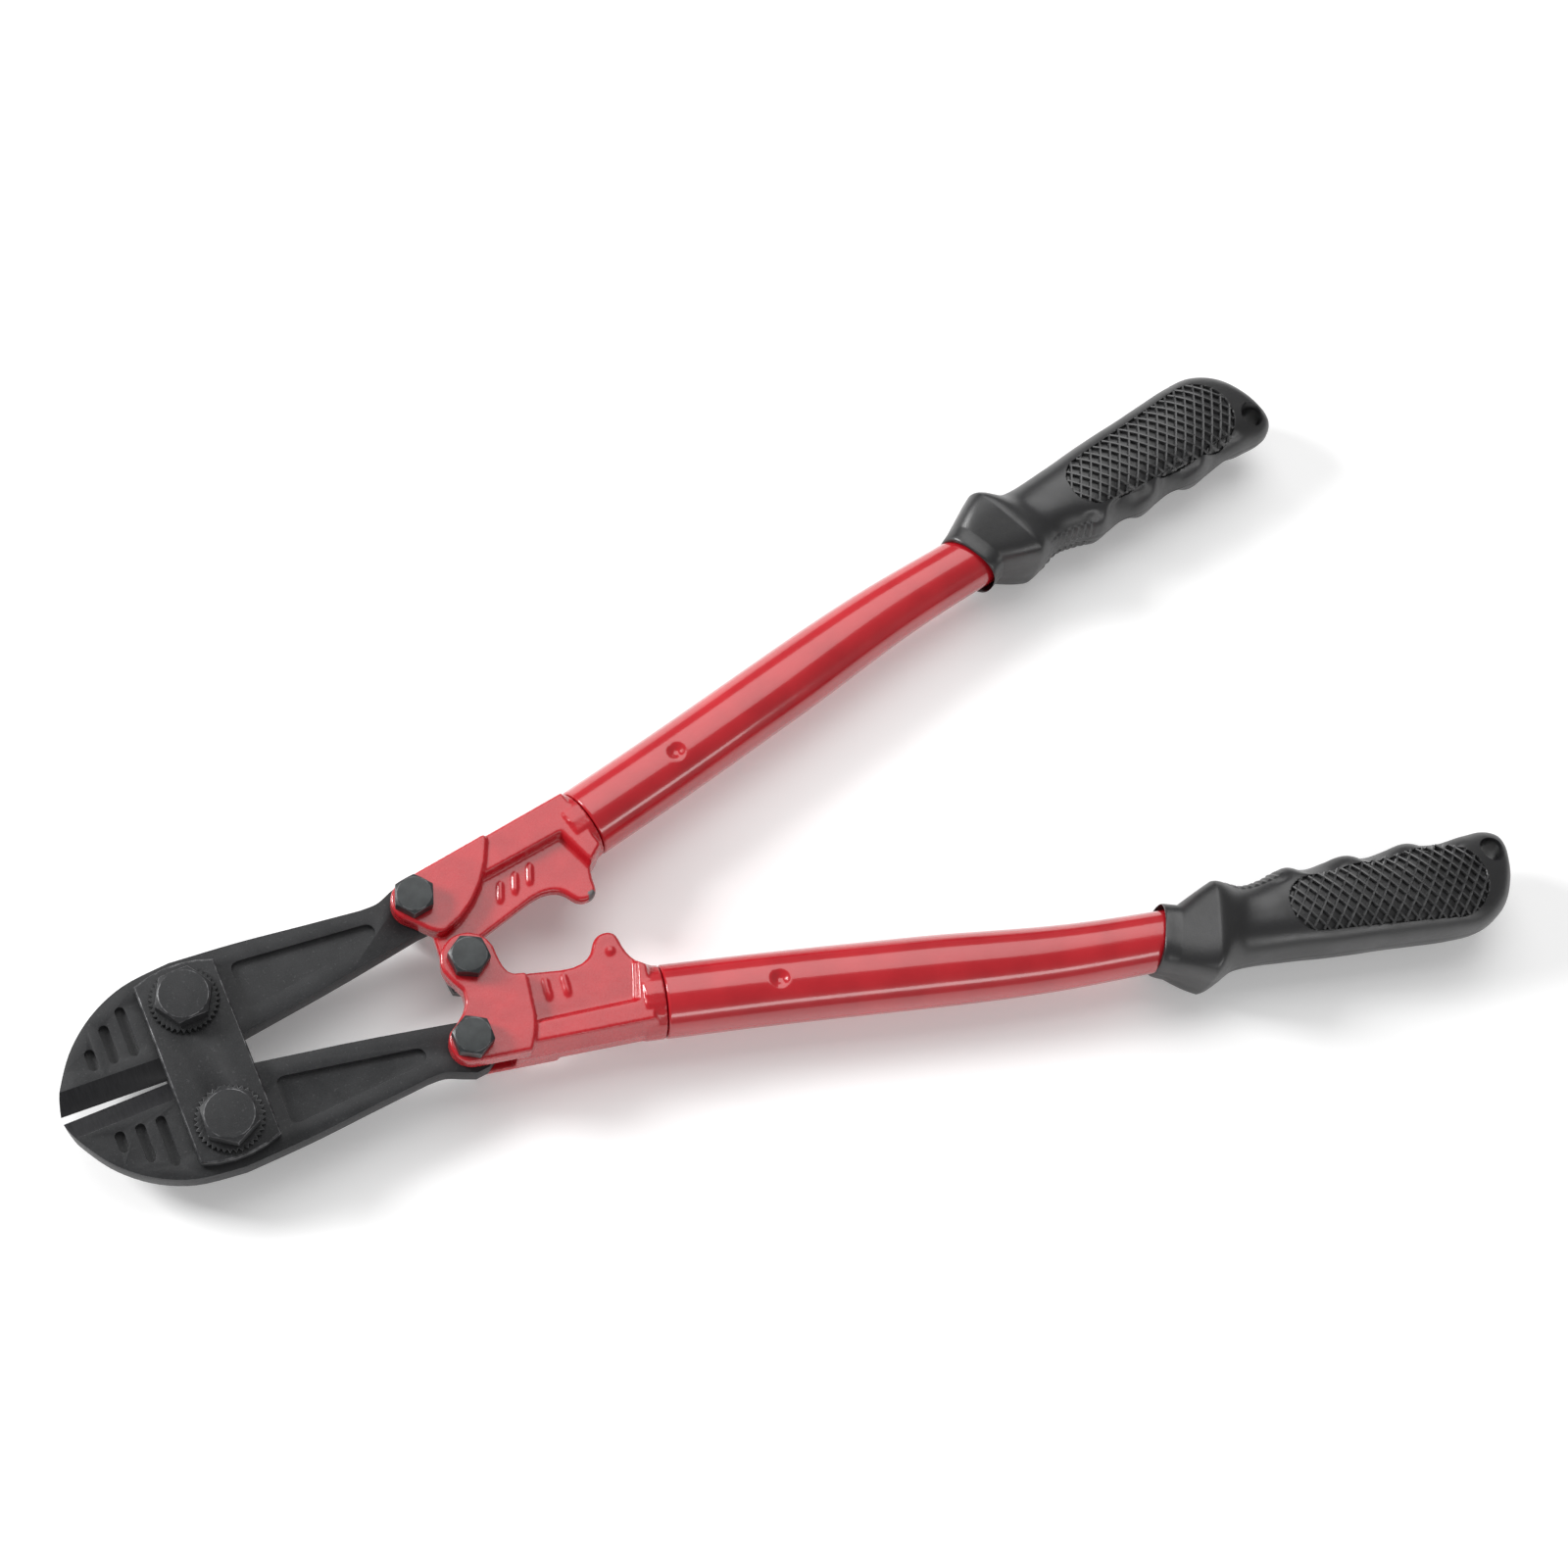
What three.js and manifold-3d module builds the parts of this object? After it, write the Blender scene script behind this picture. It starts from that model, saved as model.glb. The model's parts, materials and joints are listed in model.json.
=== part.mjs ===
// Bolt cutters, nominal length 450 mm, lying flat with the handles a little way open.
//
// The tool is built about its own line of symmetry: +X runs from the blades to the grips, +Y to the
// upper handle, and z = 0 is the middle of the jaws' thickness. The last lines stand it on z = 0.
// A jaw, a tube and a grip are each made once, for the upper half of the tool, and turned half a turn
// about X for the lower half. The two heads are different castings: the lower one carries the front
// plate of the handles' pivot, and the upper one ends in an eye behind that plate.

import * as THREE from 'three';
import Module from 'manifold-3d';
import { mergeVertices } from 'three/addons/utils/BufferGeometryUtils.js';
import { ParametricGeometry } from 'three/addons/geometries/ParametricGeometry.js';

// ---------- driving dimensions, in millimetres and degrees ----------

const GAP = 0.3; // clearance between pieces that touch
const RUN_OUT = 4; // how far a cutter runs past the surface it cuts

// the linkage at rest
const JAW_PIVOT_Y = 18.8; // jaw bolt, from the line of symmetry
const TAIL_X = 71.6; // tail bolt that joins jaw and handle, from the jaw bolt
const TAIL_Y = 23;
const CENTRE_X = 79.6; // bolt that joins the two handles
const CLOSING_ANGLE = 7.4; // each handle turns this far from rest to closed
const JAW_RATIO = 0.175; // turn of a jaw for each degree of its handle

// the jaws
const JAW_THICK = 7.8;
const BLADE_REACH = 42.3; // jaw bolt to the tip of the blade
const BLADE_CLEARANCE = 0.12; // half the gap between the closed blades
const BEVEL_WIDTH = 6.1; // width in plan of the ground bevel behind the cutting edge
const EDGE_LAND = 0.15; // half the small flat on the cutting edge
const JAW_CROWN_Y = 32.3; // outer edge of the jaw above its bolt
const TAIL_EYE_RADIUS = 8.2;
const POCKET_DEPTH = 1.6;
const SLOT_WIDTH = 2.9;
const SLOT_SPACING = 5.95;
const SLOT_DEPTH = 2;
const OPEN_PIVOT_PLAY = 1.6; // how far the upper jaw's tail hole is drawn out either way

// the straps that hold the two jaws together
const STRAP_WIDTH = 23.9;
const STRAP_THICK = 3.9;
const STRAP_CORNER_Y = 27.8;
const STRAP_CROWN_Y = 30.1;

// the fasteners
const JAW_BOLT = { shank: 5, acrossFlats: 15, headHeight: 5.3 };
const PIVOT_BOLT = { shank: 3.5, acrossFlats: 11, headHeight: 4.6 };
const WASHER_THICK = 1;
const WASHER_ROOT_RADIUS = 8.9;
const WASHER_TIP_RADIUS = 10.1;
const WASHER_TEETH = 36;

// the heads, which are castings that carry the tail of a jaw and the end of a tube
const CHEEK_FACE_Z = 11.3; // front face of the cheek that carries the bolt heads
const WEB_BACK_Z = 2; // the sunken web lies toward the front of the casting
const WEB_FACE_Z = 6.6;
const REAR_EAR_THICK = 3; // the thin ear behind the jaw's tail
const RAIL_HALF = 10.2; // half the thickness of the rail along the outer edge
const RAIL_DRAFT = 2.6; // the lower head's rail narrows by this toward each face
const FULL_RAIL_DRAFT = 0.8; // and the upper head's, which is fuller, by this
const HEAD_EYE_RADIUS = 6.8; // round the tail bolt
const PLATE_EYE_RADIUS = 8.4; // the lower head's plate round the centre bolt
const WEB_EYE_RADIUS = 8; // the upper head's eye behind that plate
const HEAD_SLOPE = 0.181; // rise of the heads' outer edge along the tool
const SPACER_RADIUS = 5.9; // the ring behind the upper head's eye
const SPACER_LENGTH = 6.1;
const EYE_CLEARANCE = 1.6; // room round the jaw's tail inside the head

// the handle tubes
const TUBE_HALF_WIDTH = 11.2;
const TUBE_GRIP_HALF_WIDTH = 9.5;
const TUBE_WALL = 1.7;
const SPIGOT_LENGTH = 44; // how far the head reaches into its tube
const CRIMP_DISTANCE = 35; // seam to the crimp that fixes the tube to the head
const CRIMP_RADIUS = 3.6;
const CRIMP_DEPTH = 1.1;

// the grips
const GRIP_SQUARENESS = 2.3; // of the grip's section, where 2 is an ellipse
const COLLAR_SQUARENESS = 4.5;
const GRIP_END_X = 407.4;
const HANG_HOLE_RADIUS = 3.5;

// ---------- sizes worked out from those ----------

const JAW_HALF = JAW_THICK / 2;
const STRAP_INNER_Z = JAW_HALF + GAP;
const STRAP_OUTER_Z = STRAP_INNER_Z + STRAP_THICK;
const JAW_BOLT_SEAT = STRAP_OUTER_Z + WASHER_THICK + 2 * GAP;
const JAW_BOLT_END = -JAW_BOLT_SEAT - JAW_BOLT.headHeight - 0.8;
const COLLAR_HALF = -JAW_BOLT_END; // the tool lies on its grip collars and jaw bolts
const CLEVIS_HALF = JAW_HALF + GAP;
const REAR_EAR_Z = -CLEVIS_HALF - REAR_EAR_THICK;
const CLEVIS_RADIUS = TAIL_EYE_RADIUS + EYE_CLEARANCE;
const JAW_PIVOT = new THREE.Vector2(0, JAW_PIVOT_Y);
const TAIL = new THREE.Vector2(TAIL_X, TAIL_Y);
const CENTRE = new THREE.Vector2(CENTRE_X, 0);
const JAW_CLOSING = THREE.MathUtils.degToRad(CLOSING_ANGLE * JAW_RATIO);

// ---------- solids ----------

const wasm = await Module();
wasm.setup();

// A closed three.js geometry as a solid. Triangles that have shrunk to a line are dropped, and a
// surface that came out inside-out is turned round.
function solid(geometry) {
  const bare = geometry.clone();
  for (const name of Object.keys(bare.attributes)) {
    if (name !== 'position') bare.deleteAttribute(name);
  }
  const merged = mergeVertices(bare, 1e-4);
  const place = merged.attributes.position;
  const corners = merged.index.array;
  const kept = [];
  let volume = 0;
  const [a, b, c] = [new THREE.Vector3(), new THREE.Vector3(), new THREE.Vector3()];
  for (let i = 0; i < corners.length; i += 3) {
    const [p, q, r] = corners.slice(i, i + 3);
    if (p === q || q === r || r === p) continue;
    kept.push(p, q, r);
    a.fromBufferAttribute(place, p);
    b.fromBufferAttribute(place, q);
    c.fromBufferAttribute(place, r);
    volume += a.dot(b.cross(c));
  }
  if (volume < 0) kept.reverse();
  const parts = { numProp: 3, vertProperties: new Float32Array(place.array), triVerts: new Uint32Array(kept) };
  return new wasm.Manifold(new wasm.Mesh(parts));
}

function union(first, ...others) {
  return others.reduce((sum, other) => sum.add(other), first);
}

function cut(first, ...others) {
  return others.reduce((rest, other) => rest.subtract(other), first);
}

function named(name, body, material) {
  const result = body.getMesh();
  const geometry = new THREE.BufferGeometry();
  geometry.setAttribute('position', new THREE.BufferAttribute(result.vertProperties, 3));
  geometry.setIndex(new THREE.BufferAttribute(result.triVerts, 1));
  geometry.computeVertexNormals();
  const mesh = new THREE.Mesh(geometry, material.clone());
  mesh.name = name;
  return mesh;
}

// A flat plate from z = low to z = high. Both faces' edges are chamfered by inset, over the depth run.
function plate(outline, low, high, inset = 0, run = inset, curveSegments = 5) {
  const options = { depth: high - low - 2 * run, curveSegments, bevelEnabled: inset > 0 };
  Object.assign(options, { bevelSize: inset, bevelThickness: run, bevelOffset: -inset, bevelSegments: 1 });
  const geometry = new THREE.ExtrudeGeometry(outline, options);
  geometry.translate(0, 0, low + run);
  return solid(geometry);
}

function disc(centre, radius, low, high, sides = 20) {
  const geometry = new THREE.CylinderGeometry(radius, radius, high - low, sides);
  geometry.rotateX(Math.PI / 2);
  geometry.translate(centre.x, centre.y, (low + high) / 2);
  return solid(geometry);
}

// A body of revolution about the z axis through a point in plan, from a profile of [radius, z] pairs.
function turned(centre, profile, sides = 20) {
  const points = profile.map(([radius, z]) => new THREE.Vector2(radius, z));
  const geometry = new THREE.LatheGeometry(points, sides);
  geometry.rotateX(Math.PI / 2);
  geometry.translate(centre.x, centre.y, 0);
  return solid(geometry);
}

// A body with an oval section that changes along its length. section(t) gives its centre, the vector
// from there to its outer edge in plan, its half thickness and its squareness, where 2 is an ellipse and
// more is fuller at the corners. The first and last rings are closed by flat ends.
function loft(section, rings, sides) {
  const surface = (u, v, target) => {
    const ring = Math.round(u * (rings + 2)) - 1;
    const { centre, across, half, squareness = 2 } = section(THREE.MathUtils.clamp(ring / rings, 0, 1));
    const bend = (value) => Math.sign(value) * Math.abs(value) ** (2 / squareness);
    const angle = (Math.round(v * sides) % sides) * ((2 * Math.PI) / sides);
    const open = ring < 0 || ring > rings ? 0 : 1;
    const sideways = open * bend(Math.cos(angle));
    const upward = open * bend(Math.sin(angle)) * half;
    target.set(centre.x + sideways * across.x, centre.y + sideways * across.y, upward);
  };
  return solid(new ParametricGeometry(surface, rings + 2, sides));
}

// ---------- outlines in plan ----------

function points(...pairs) {
  return pairs.map(([x, y]) => new THREE.Vector2(x, y));
}

function polygon(...pairs) {
  return new THREE.Shape(points(...pairs));
}

function stadium(x, low, high, width) {
  const radius = width / 2;
  const outline = new THREE.Shape();
  outline.absarc(x, low + radius, radius, Math.PI, 2 * Math.PI);
  outline.absarc(x, high - radius, radius, 0, Math.PI);
  return outline;
}

// ---------- the jaws ----------

// A point of the closed jaw, where it is with the handles at rest.
function atRest(x, y) {
  return new THREE.Vector2(x, y).rotateAround(JAW_PIVOT, -JAW_CLOSING);
}

function jawOutline() {
  const heel = atRest(-9, BLADE_CLEARANCE);
  const tip = atRest(-BLADE_REACH, BLADE_CLEARANCE);
  const crown = JAW_CROWN_Y;
  const outline = new THREE.Shape();
  outline.moveTo(heel.x, heel.y);
  outline.lineTo(tip.x, tip.y);
  outline.lineTo(-BLADE_REACH, 3);
  outline.splineThru(points([-40.3, 8.2], [-34, 17.8], [-25, 25.6], [-14, crown - 1.8], [0, crown]));
  outline.splineThru(points([20, crown - 1.2], [40, crown - 3.2], [TAIL_X - 15, TAIL_Y + 4.5]));
  outline.splineThru(points([TAIL_X - 9.6, TAIL_Y + 4.7], [TAIL_X - 4.9, TAIL_Y + 6.6]));
  outline.absarc(TAIL_X, TAIL_Y, TAIL_EYE_RADIUS, 0.7 * Math.PI, -0.55 * Math.PI, true);
  outline.splineThru(points([42.4, 9.6], [12.5, 4.7]));
  outline.splineThru(points([2, 3], [heel.x, heel.y]));
  return outline;
}

// The wedge that grinds one side of the blade down to its edge.
function bladeGrind(side) {
  const slope = BEVEL_WIDTH / (JAW_HALF - EDGE_LAND);
  const top = JAW_HALF + RUN_OUT;
  const section = polygon([-RUN_OUT, EDGE_LAND], [0, EDGE_LAND], [slope * (top - EDGE_LAND), top], [-RUN_OUT, top]);
  const length = BLADE_REACH + RUN_OUT - 9;
  const geometry = new THREE.ExtrudeGeometry(section, { depth: length, bevelEnabled: false });
  geometry.rotateY(Math.PI / 2);
  geometry.rotateX(Math.PI / 2);
  if (side < 0) geometry.rotateX(Math.PI).scale(1, -1, 1);
  geometry.translate(-BLADE_REACH - RUN_OUT, BLADE_CLEARANCE, 0);
  geometry.translate(0, -JAW_PIVOT_Y, 0).rotateZ(-JAW_CLOSING).translate(0, JAW_PIVOT_Y, 0);
  return solid(geometry);
}

// The tapering panel sunk into the arm, with round corners.
function pocketOutline() {
  const endRadius = 2.6;
  const outline = new THREE.Shape();
  outline.moveTo(15.8, 14);
  outline.quadraticCurveTo(15.8, 11, 18.6, 11.3);
  outline.lineTo(56.4, 17.8);
  outline.absarc(56, 17.8 + endRadius, endRadius, -0.45 * Math.PI, 0.47 * Math.PI);
  outline.lineTo(18.8, 25.8);
  outline.quadraticCurveTo(15.8, 26, 15.8, 23.4);
  return outline;
}

function jaw(name, holePlay, material) {
  let body = plate(jawOutline(), -JAW_HALF, JAW_HALF, 0, 0, 4);
  body = cut(body, bladeGrind(1), bladeGrind(-1));
  for (const side of [-1, 1]) {
    const face = side * JAW_HALF;
    const sunk = (depth) => [face - side * depth, face + side * RUN_OUT].sort((a, b) => a - b);
    body = body.subtract(plate(pocketOutline(), ...sunk(POCKET_DEPTH)));
    [24.9, 21.4, 16.1].forEach((top, i) => {
      const outline = stadium(-17.7 - i * SLOT_SPACING, 9.5, top, SLOT_WIDTH);
      body = body.subtract(plate(outline, ...sunk(SLOT_DEPTH), 0, 0, 4));
    });
  }
  const hole = PIVOT_BOLT.shank + GAP;
  const low = TAIL_Y - hole - holePlay;
  const tailHole = stadium(TAIL_X, low, TAIL_Y + hole + holePlay, 2 * hole);
  const reach = JAW_HALF + RUN_OUT;
  body = cut(body, disc(JAW_PIVOT, JAW_BOLT.shank + GAP, -reach, reach), plate(tailHole, -reach, reach));
  return named(name, body, material);
}

// ---------- the straps, bolts, washers and nuts ----------

function strap(name, low, high, material) {
  const half = STRAP_WIDTH / 2;
  const outline = new THREE.Shape();
  outline.moveTo(-half, -STRAP_CORNER_Y);
  outline.quadraticCurveTo(0, STRAP_CORNER_Y - 2 * STRAP_CROWN_Y, half, -STRAP_CORNER_Y);
  outline.lineTo(half, STRAP_CORNER_Y);
  outline.quadraticCurveTo(0, 2 * STRAP_CROWN_Y - STRAP_CORNER_Y, -half, STRAP_CORNER_Y);
  let body = plate(outline, low, high, 0.4);
  for (const side of [-1, 1]) {
    const centre = new THREE.Vector2(0, side * JAW_PIVOT_Y);
    body = body.subtract(disc(centre, JAW_BOLT.shank + GAP, low - RUN_OUT, high + RUN_OUT));
  }
  return named(name, body, material);
}

// A six-sided block whose corners are turned off where chamfered.
function hexBlock(centre, acrossFlats, low, high, chamferLow, chamferHigh, turn) {
  const corner = acrossFlats / Math.sqrt(3);
  const flat = 0.47 * acrossFlats;
  const drop = 0.55 * (corner - flat);
  const geometry = new THREE.CylinderGeometry(corner, corner, high - low, 6);
  geometry.rotateX(Math.PI / 2).rotateZ(turn);
  geometry.translate(centre.x, centre.y, (low + high) / 2);
  const wide = corner + 1;
  const start = drop * (wide - flat) / (corner - flat);
  const below = chamferLow ? [[0, low], [flat, low], [wide, low + start]] : [[0, low], [wide, low]];
  const above = chamferHigh ? [[wide, high - start], [flat, high], [0, high]] : [[wide, high], [0, high]];
  return solid(geometry).intersect(turned(centre, [...below, ...above], 24));
}

// A hexagon bolt whose head sits on z = seat, with its point at z = end.
function bolt(name, centre, size, seat, end, turn, material) {
  const head = hexBlock(centre, size.acrossFlats, seat, seat + size.headHeight, false, true, turn);
  const point = 0.8;
  const shank = [[0, end], [size.shank - point, end], [size.shank, end + point]];
  const body = head.add(turned(centre, [...shank, [size.shank, seat + 1], [0, seat + 1]]));
  return named(name, body, material);
}

function nut(name, centre, size, low, high, turn, material) {
  const block = hexBlock(centre, size.acrossFlats, low, high, true, true, turn);
  const bore = disc(centre, size.shank + GAP, low - RUN_OUT, high + RUN_OUT);
  return named(name, block.subtract(bore), material);
}

function toothedWasher(name, centre, low, material) {
  const outline = new THREE.Shape();
  for (let i = 0; i < 2 * WASHER_TEETH; i += 1) {
    const radius = i % 2 ? WASHER_ROOT_RADIUS : WASHER_TIP_RADIUS;
    const angle = (i * Math.PI) / WASHER_TEETH;
    const corner = [centre.x + radius * Math.cos(angle), centre.y + radius * Math.sin(angle)];
    if (i === 0) outline.moveTo(...corner);
    else outline.lineTo(...corner);
  }
  const high = low + WASHER_THICK;
  const bore = disc(centre, JAW_BOLT.shank + GAP, low - RUN_OUT, high + RUN_OUT);
  return named(name, plate(outline, low, high).subtract(bore), material);
}

// ---------- the handle line ----------

// The tube's centre line, from its seam with the head to its end inside the grip.
const SEAM = new THREE.Vector3(129.8, 30.4, 0);
const TUBE_END = new THREE.Vector3(386, 90.4, 0);
const centreLine = new THREE.CatmullRomCurve3([
  SEAM,
  new THREE.Vector3(164, 39.2, 0),
  new THREE.Vector3(205, 50.4, 0),
  new THREE.Vector3(250, 62.7, 0),
  new THREE.Vector3(288, 70.8, 0),
  TUBE_END,
]);

// A round section on the centre line, at a distance along it from the seam. Negative is inside the head.
// Past either end the line runs straight on.
function tubeSection(distance, inset) {
  const length = centreLine.getLength();
  const onLine = THREE.MathUtils.clamp(distance, 0, length);
  const centre = centreLine.getPointAt(onLine / length);
  const ahead = centreLine.getTangentAt(onLine / length);
  centre.addScaledVector(ahead, distance - onLine);
  const narrowing = THREE.MathUtils.smoothstep(distance, 0.3 * length, 0.62 * length);
  const width = THREE.MathUtils.lerp(TUBE_HALF_WIDTH, TUBE_GRIP_HALF_WIDTH, narrowing) - inset;
  return { centre, across: new THREE.Vector2(-ahead.y, ahead.x).multiplyScalar(width), half: width };
}

function tubeRun(from, to, inset, rings, sides) {
  return loft((t) => tubeSection(THREE.MathUtils.lerp(from, to, t), inset), rings, sides);
}

function tube(name, material) {
  const length = centreLine.getLength();
  const outside = tubeRun(GAP, length, 0, 9, 24);
  const bore = tubeRun(-RUN_OUT, length + RUN_OUT, TUBE_WALL, 9, 16);
  const { centre } = tubeSection(CRIMP_DISTANCE, 0);
  let body = outside.subtract(bore);
  for (const side of [-1, 1]) {
    const floor = side * (TUBE_HALF_WIDTH - CRIMP_DEPTH);
    const range = [floor, floor + side * RUN_OUT].sort((a, b) => a - b);
    body = body.subtract(disc(centre, CRIMP_RADIUS, ...range, 12));
  }
  return named(name, body, material);
}

// ---------- the heads ----------

// The straight outer edge, which is tangent to the eye round the tail bolt.
function headEdge(x) {
  return TAIL_Y + HEAD_EYE_RADIUS * Math.hypot(1, HEAD_SLOPE) + HEAD_SLOPE * (x - TAIL_X);
}

// The outer edge and the eye round the tail bolt, followed from the right to the end angle of the eye.
function addTailEye(outline, fromX, endAngle) {
  outline.lineTo(fromX, headEdge(fromX));
  outline.absarc(TAIL_X, TAIL_Y, HEAD_EYE_RADIUS, Math.PI / 2 + Math.atan(HEAD_SLOPE), endAngle);
}

// The lower head's cheek, which carries both the tail bolt and the centre bolt.
function wideCheekOutline() {
  const outline = new THREE.Shape();
  const [x, y] = [CENTRE_X, TAIL_Y];
  outline.absarc(x, 0, PLATE_EYE_RADIUS, 0.96 * Math.PI, 2.06 * Math.PI);
  outline.bezierCurveTo(x + 8.4, 5.6, x + 8.6, 9.2, x + 13, 9.4);
  outline.quadraticCurveTo(x + 14.4, 9.6, x + 14.2, 11);
  outline.lineTo(x + 12, y - 0.5);
  outline.quadraticCurveTo(x + 10.5, y + 5, x + 6.8, headEdge(x + 6.8));
  addTailEye(outline, x + 6, 1.22 * Math.PI);
  outline.bezierCurveTo(x - 9.1, y - 6.5, x - 1.6, y - 12, x - 6.9, 5);
  return outline;
}

// The upper head's cheek, which stops short of the centre bolt.
function smallCheekOutline() {
  const outline = new THREE.Shape();
  outline.moveTo(CENTRE_X - 3, 10.2);
  outline.quadraticCurveTo(CENTRE_X + 12, 15.2, CENTRE_X + 19.2, headEdge(CENTRE_X + 19.2) - 2);
  addTailEye(outline, CENTRE_X + 18.9, 1.3 * Math.PI);
  outline.bezierCurveTo(CENTRE_X - 9.1, 15.5, CENTRE_X - 6.8, 10.2, CENTRE_X - 3, 10.2);
  return outline;
}

// The ear behind the jaw's tail, which runs back to the rail.
function rearEarOutline() {
  const outline = new THREE.Shape();
  outline.moveTo(TAIL_X + 4, TAIL_Y - 5.5);
  outline.lineTo(CENTRE_X + 16, TAIL_Y + 0.5);
  addTailEye(outline, CENTRE_X + 16, 1.7 * Math.PI);
  return outline;
}

// The sunken web, with the stop that meets its fellow when the handles close.
function webOutline(withEye) {
  const stopX = CENTRE_X + 41;
  const stopY = 5.5;
  const outline = new THREE.Shape();
  if (withEye) {
    outline.absarc(CENTRE_X, 0, WEB_EYE_RADIUS, 0.82 * Math.PI, 2.25 * Math.PI);
  } else {
    outline.moveTo(CENTRE_X - 4, 9.6);
    outline.lineTo(CENTRE_X + 8.4, 7);
  }
  outline.lineTo(stopX - 16, 11.6);
  outline.bezierCurveTo(stopX - 9, 13.4, stopX - 6, 10.9, stopX - 4.6, 8.4);
  outline.quadraticCurveTo(stopX - 3, stopY, stopX, stopY);
  outline.quadraticCurveTo(stopX + 3.6, stopY + 0.2, stopX + 3.8, 8.9);
  outline.quadraticCurveTo(stopX + 4, 15.6, stopX + 7.2, 18);
  outline.lineTo(stopX + 5, 30);
  outline.lineTo(CENTRE_X + 5, TAIL_Y + 6);
  outline.lineTo(CENTRE_X - 6, 13);
  return outline;
}

// The thick rail that runs along the outer edge to the socket.
function railOutline() {
  const x = CENTRE_X;
  return polygon(
    [x + 3, TAIL_Y - 0.4], [x + 14, TAIL_Y - 0.4], [x + 40.6, TAIL_Y + 3.9], [x + 45.6, 15],
    [x + 51.2, 19.4], [x + 46.4, headEdge(x + 46.4)], [x + 3, headEdge(x + 3)],
  );
}

// The room for the jaw's tail: round about the tail bolt, and open to the left and to the outer edge.
function clevisOutline() {
  const outline = new THREE.Shape();
  const reach = TAIL_X - 30;
  outline.moveTo(reach, TAIL_Y - CLEVIS_RADIUS);
  outline.lineTo(TAIL_X, TAIL_Y - CLEVIS_RADIUS);
  outline.absarc(TAIL_X, TAIL_Y, CLEVIS_RADIUS, -0.5 * Math.PI, 0);
  outline.lineTo(TAIL_X + 11, TAIL_Y + 8);
  outline.lineTo(TAIL_X + 11, TAIL_Y + 30);
  outline.lineTo(reach, TAIL_Y + 30);
  return outline;
}

// A head in the upper half of the tool. The one with the plate is mirrored to the lower half.
function head(name, withPlate, material) {
  const web = plate(webOutline(!withPlate), WEB_BACK_Z, WEB_FACE_Z, 0.8);
  const draft = withPlate ? RAIL_DRAFT : FULL_RAIL_DRAFT;
  const rail = plate(railOutline(), -RAIL_HALF, RAIL_HALF, draft, 2.7 * draft);
  const front = plate(withPlate ? wideCheekOutline() : smallCheekOutline(), CLEVIS_HALF, CHEEK_FACE_Z, 0.5);
  const rear = plate(rearEarOutline(), REAR_EAR_Z, 0, 0.8);
  const socket = tubeRun(-6, 0, 0, 1, 20);
  const spigot = tubeRun(-2, SPIGOT_LENGTH, TUBE_WALL + GAP, 2, 16);
  const reach = RAIL_HALF + RUN_OUT;
  const room = plate(clevisOutline(), -CLEVIS_HALF, CLEVIS_HALF);
  const behindEar = plate(polygon([40, 0], [CENTRE_X + 7, 0], [CENTRE_X + 7, 60], [40, 60]), -reach, REAR_EAR_Z);
  const hole = PIVOT_BOLT.shank + GAP;
  const holes = [TAIL, CENTRE].map((centre) => disc(centre, hole, -reach, reach));
  let body = cut(union(web, rail, front, rear, socket, spigot), room, behindEar, ...holes);
  if (withPlate) {
    const lap = disc(CENTRE, PLATE_EYE_RADIUS + GAP, -reach, WEB_FACE_Z + GAP);
    body = body.subtract(lap).mirror([0, 1, 0]);
  }
  return named(name, body, material);
}

// ---------- the grips ----------

// Where the grip's outer edge and inner edge are at stations along it, and its half thickness there:
// mouth, collar, neck, the body with its three finger ridges, and the round end.
const end = GRIP_END_X;
const GRIP_STATIONS = [
  { outer: [282, 81.2], inner: [292.6, 62.2], half: 11.3 },
  { outer: [291.5, 88.9], inner: [304.9, 59.7], half: COLLAR_HALF },
  { outer: [303.5, 87.2], inner: [315, 64], half: 12.6 },
  { outer: [321.5, 91], inner: [323, 64.7], half: 12.8 },
  { outer: [335, 94.6], inner: [331.5, 63.6], half: 13 },
  { outer: [345, 97.1], inner: [341, 66.4], half: 13 },
  { outer: [354, 99.2], inner: [351, 66.9], half: 13 },
  { outer: [365, 102], inner: [362, 70.2], half: 13 },
  { outer: [376, 104.7], inner: [373.5, 70.8], half: 12.8 },
  { outer: [386, 105.9], inner: [386, 74.6], half: 11.6 },
  { outer: [end - 11.9, 102.9], inner: [end - 12.4, 75.7], half: 10 },
  { outer: [end - 5.4, 96.5], inner: [end - 5.9, 76.5], half: 8.4 },
  { outer: [end - 1.6, 89], inner: [end - 2, 78.5], half: 6 },
  { outer: [end, 84], inner: [end, 81.6], half: 2.4 },
];
const outerEdge = new THREE.SplineCurve(points(...GRIP_STATIONS.map((station) => station.outer)));
const innerEdge = new THREE.SplineCurve(points(...GRIP_STATIONS.map((station) => station.inner)));
const thickness = new THREE.SplineCurve(GRIP_STATIONS.map(({ half }, i) => new THREE.Vector2(i, half)));

function gripSection(t) {
  const [outer, inner] = [outerEdge.getPoint(t), innerEdge.getPoint(t)];
  const centre = outer.clone().add(inner).multiplyScalar(0.5);
  const fromCollar = (t * (GRIP_STATIONS.length - 1) - 0.7) / 0.75;
  const squareness = GRIP_SQUARENESS + (COLLAR_SQUARENESS - GRIP_SQUARENESS) * Math.exp(-(fromCollar ** 2));
  return { centre, across: outer.clone().sub(centre), half: thickness.getPoint(t).y, squareness };
}

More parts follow.
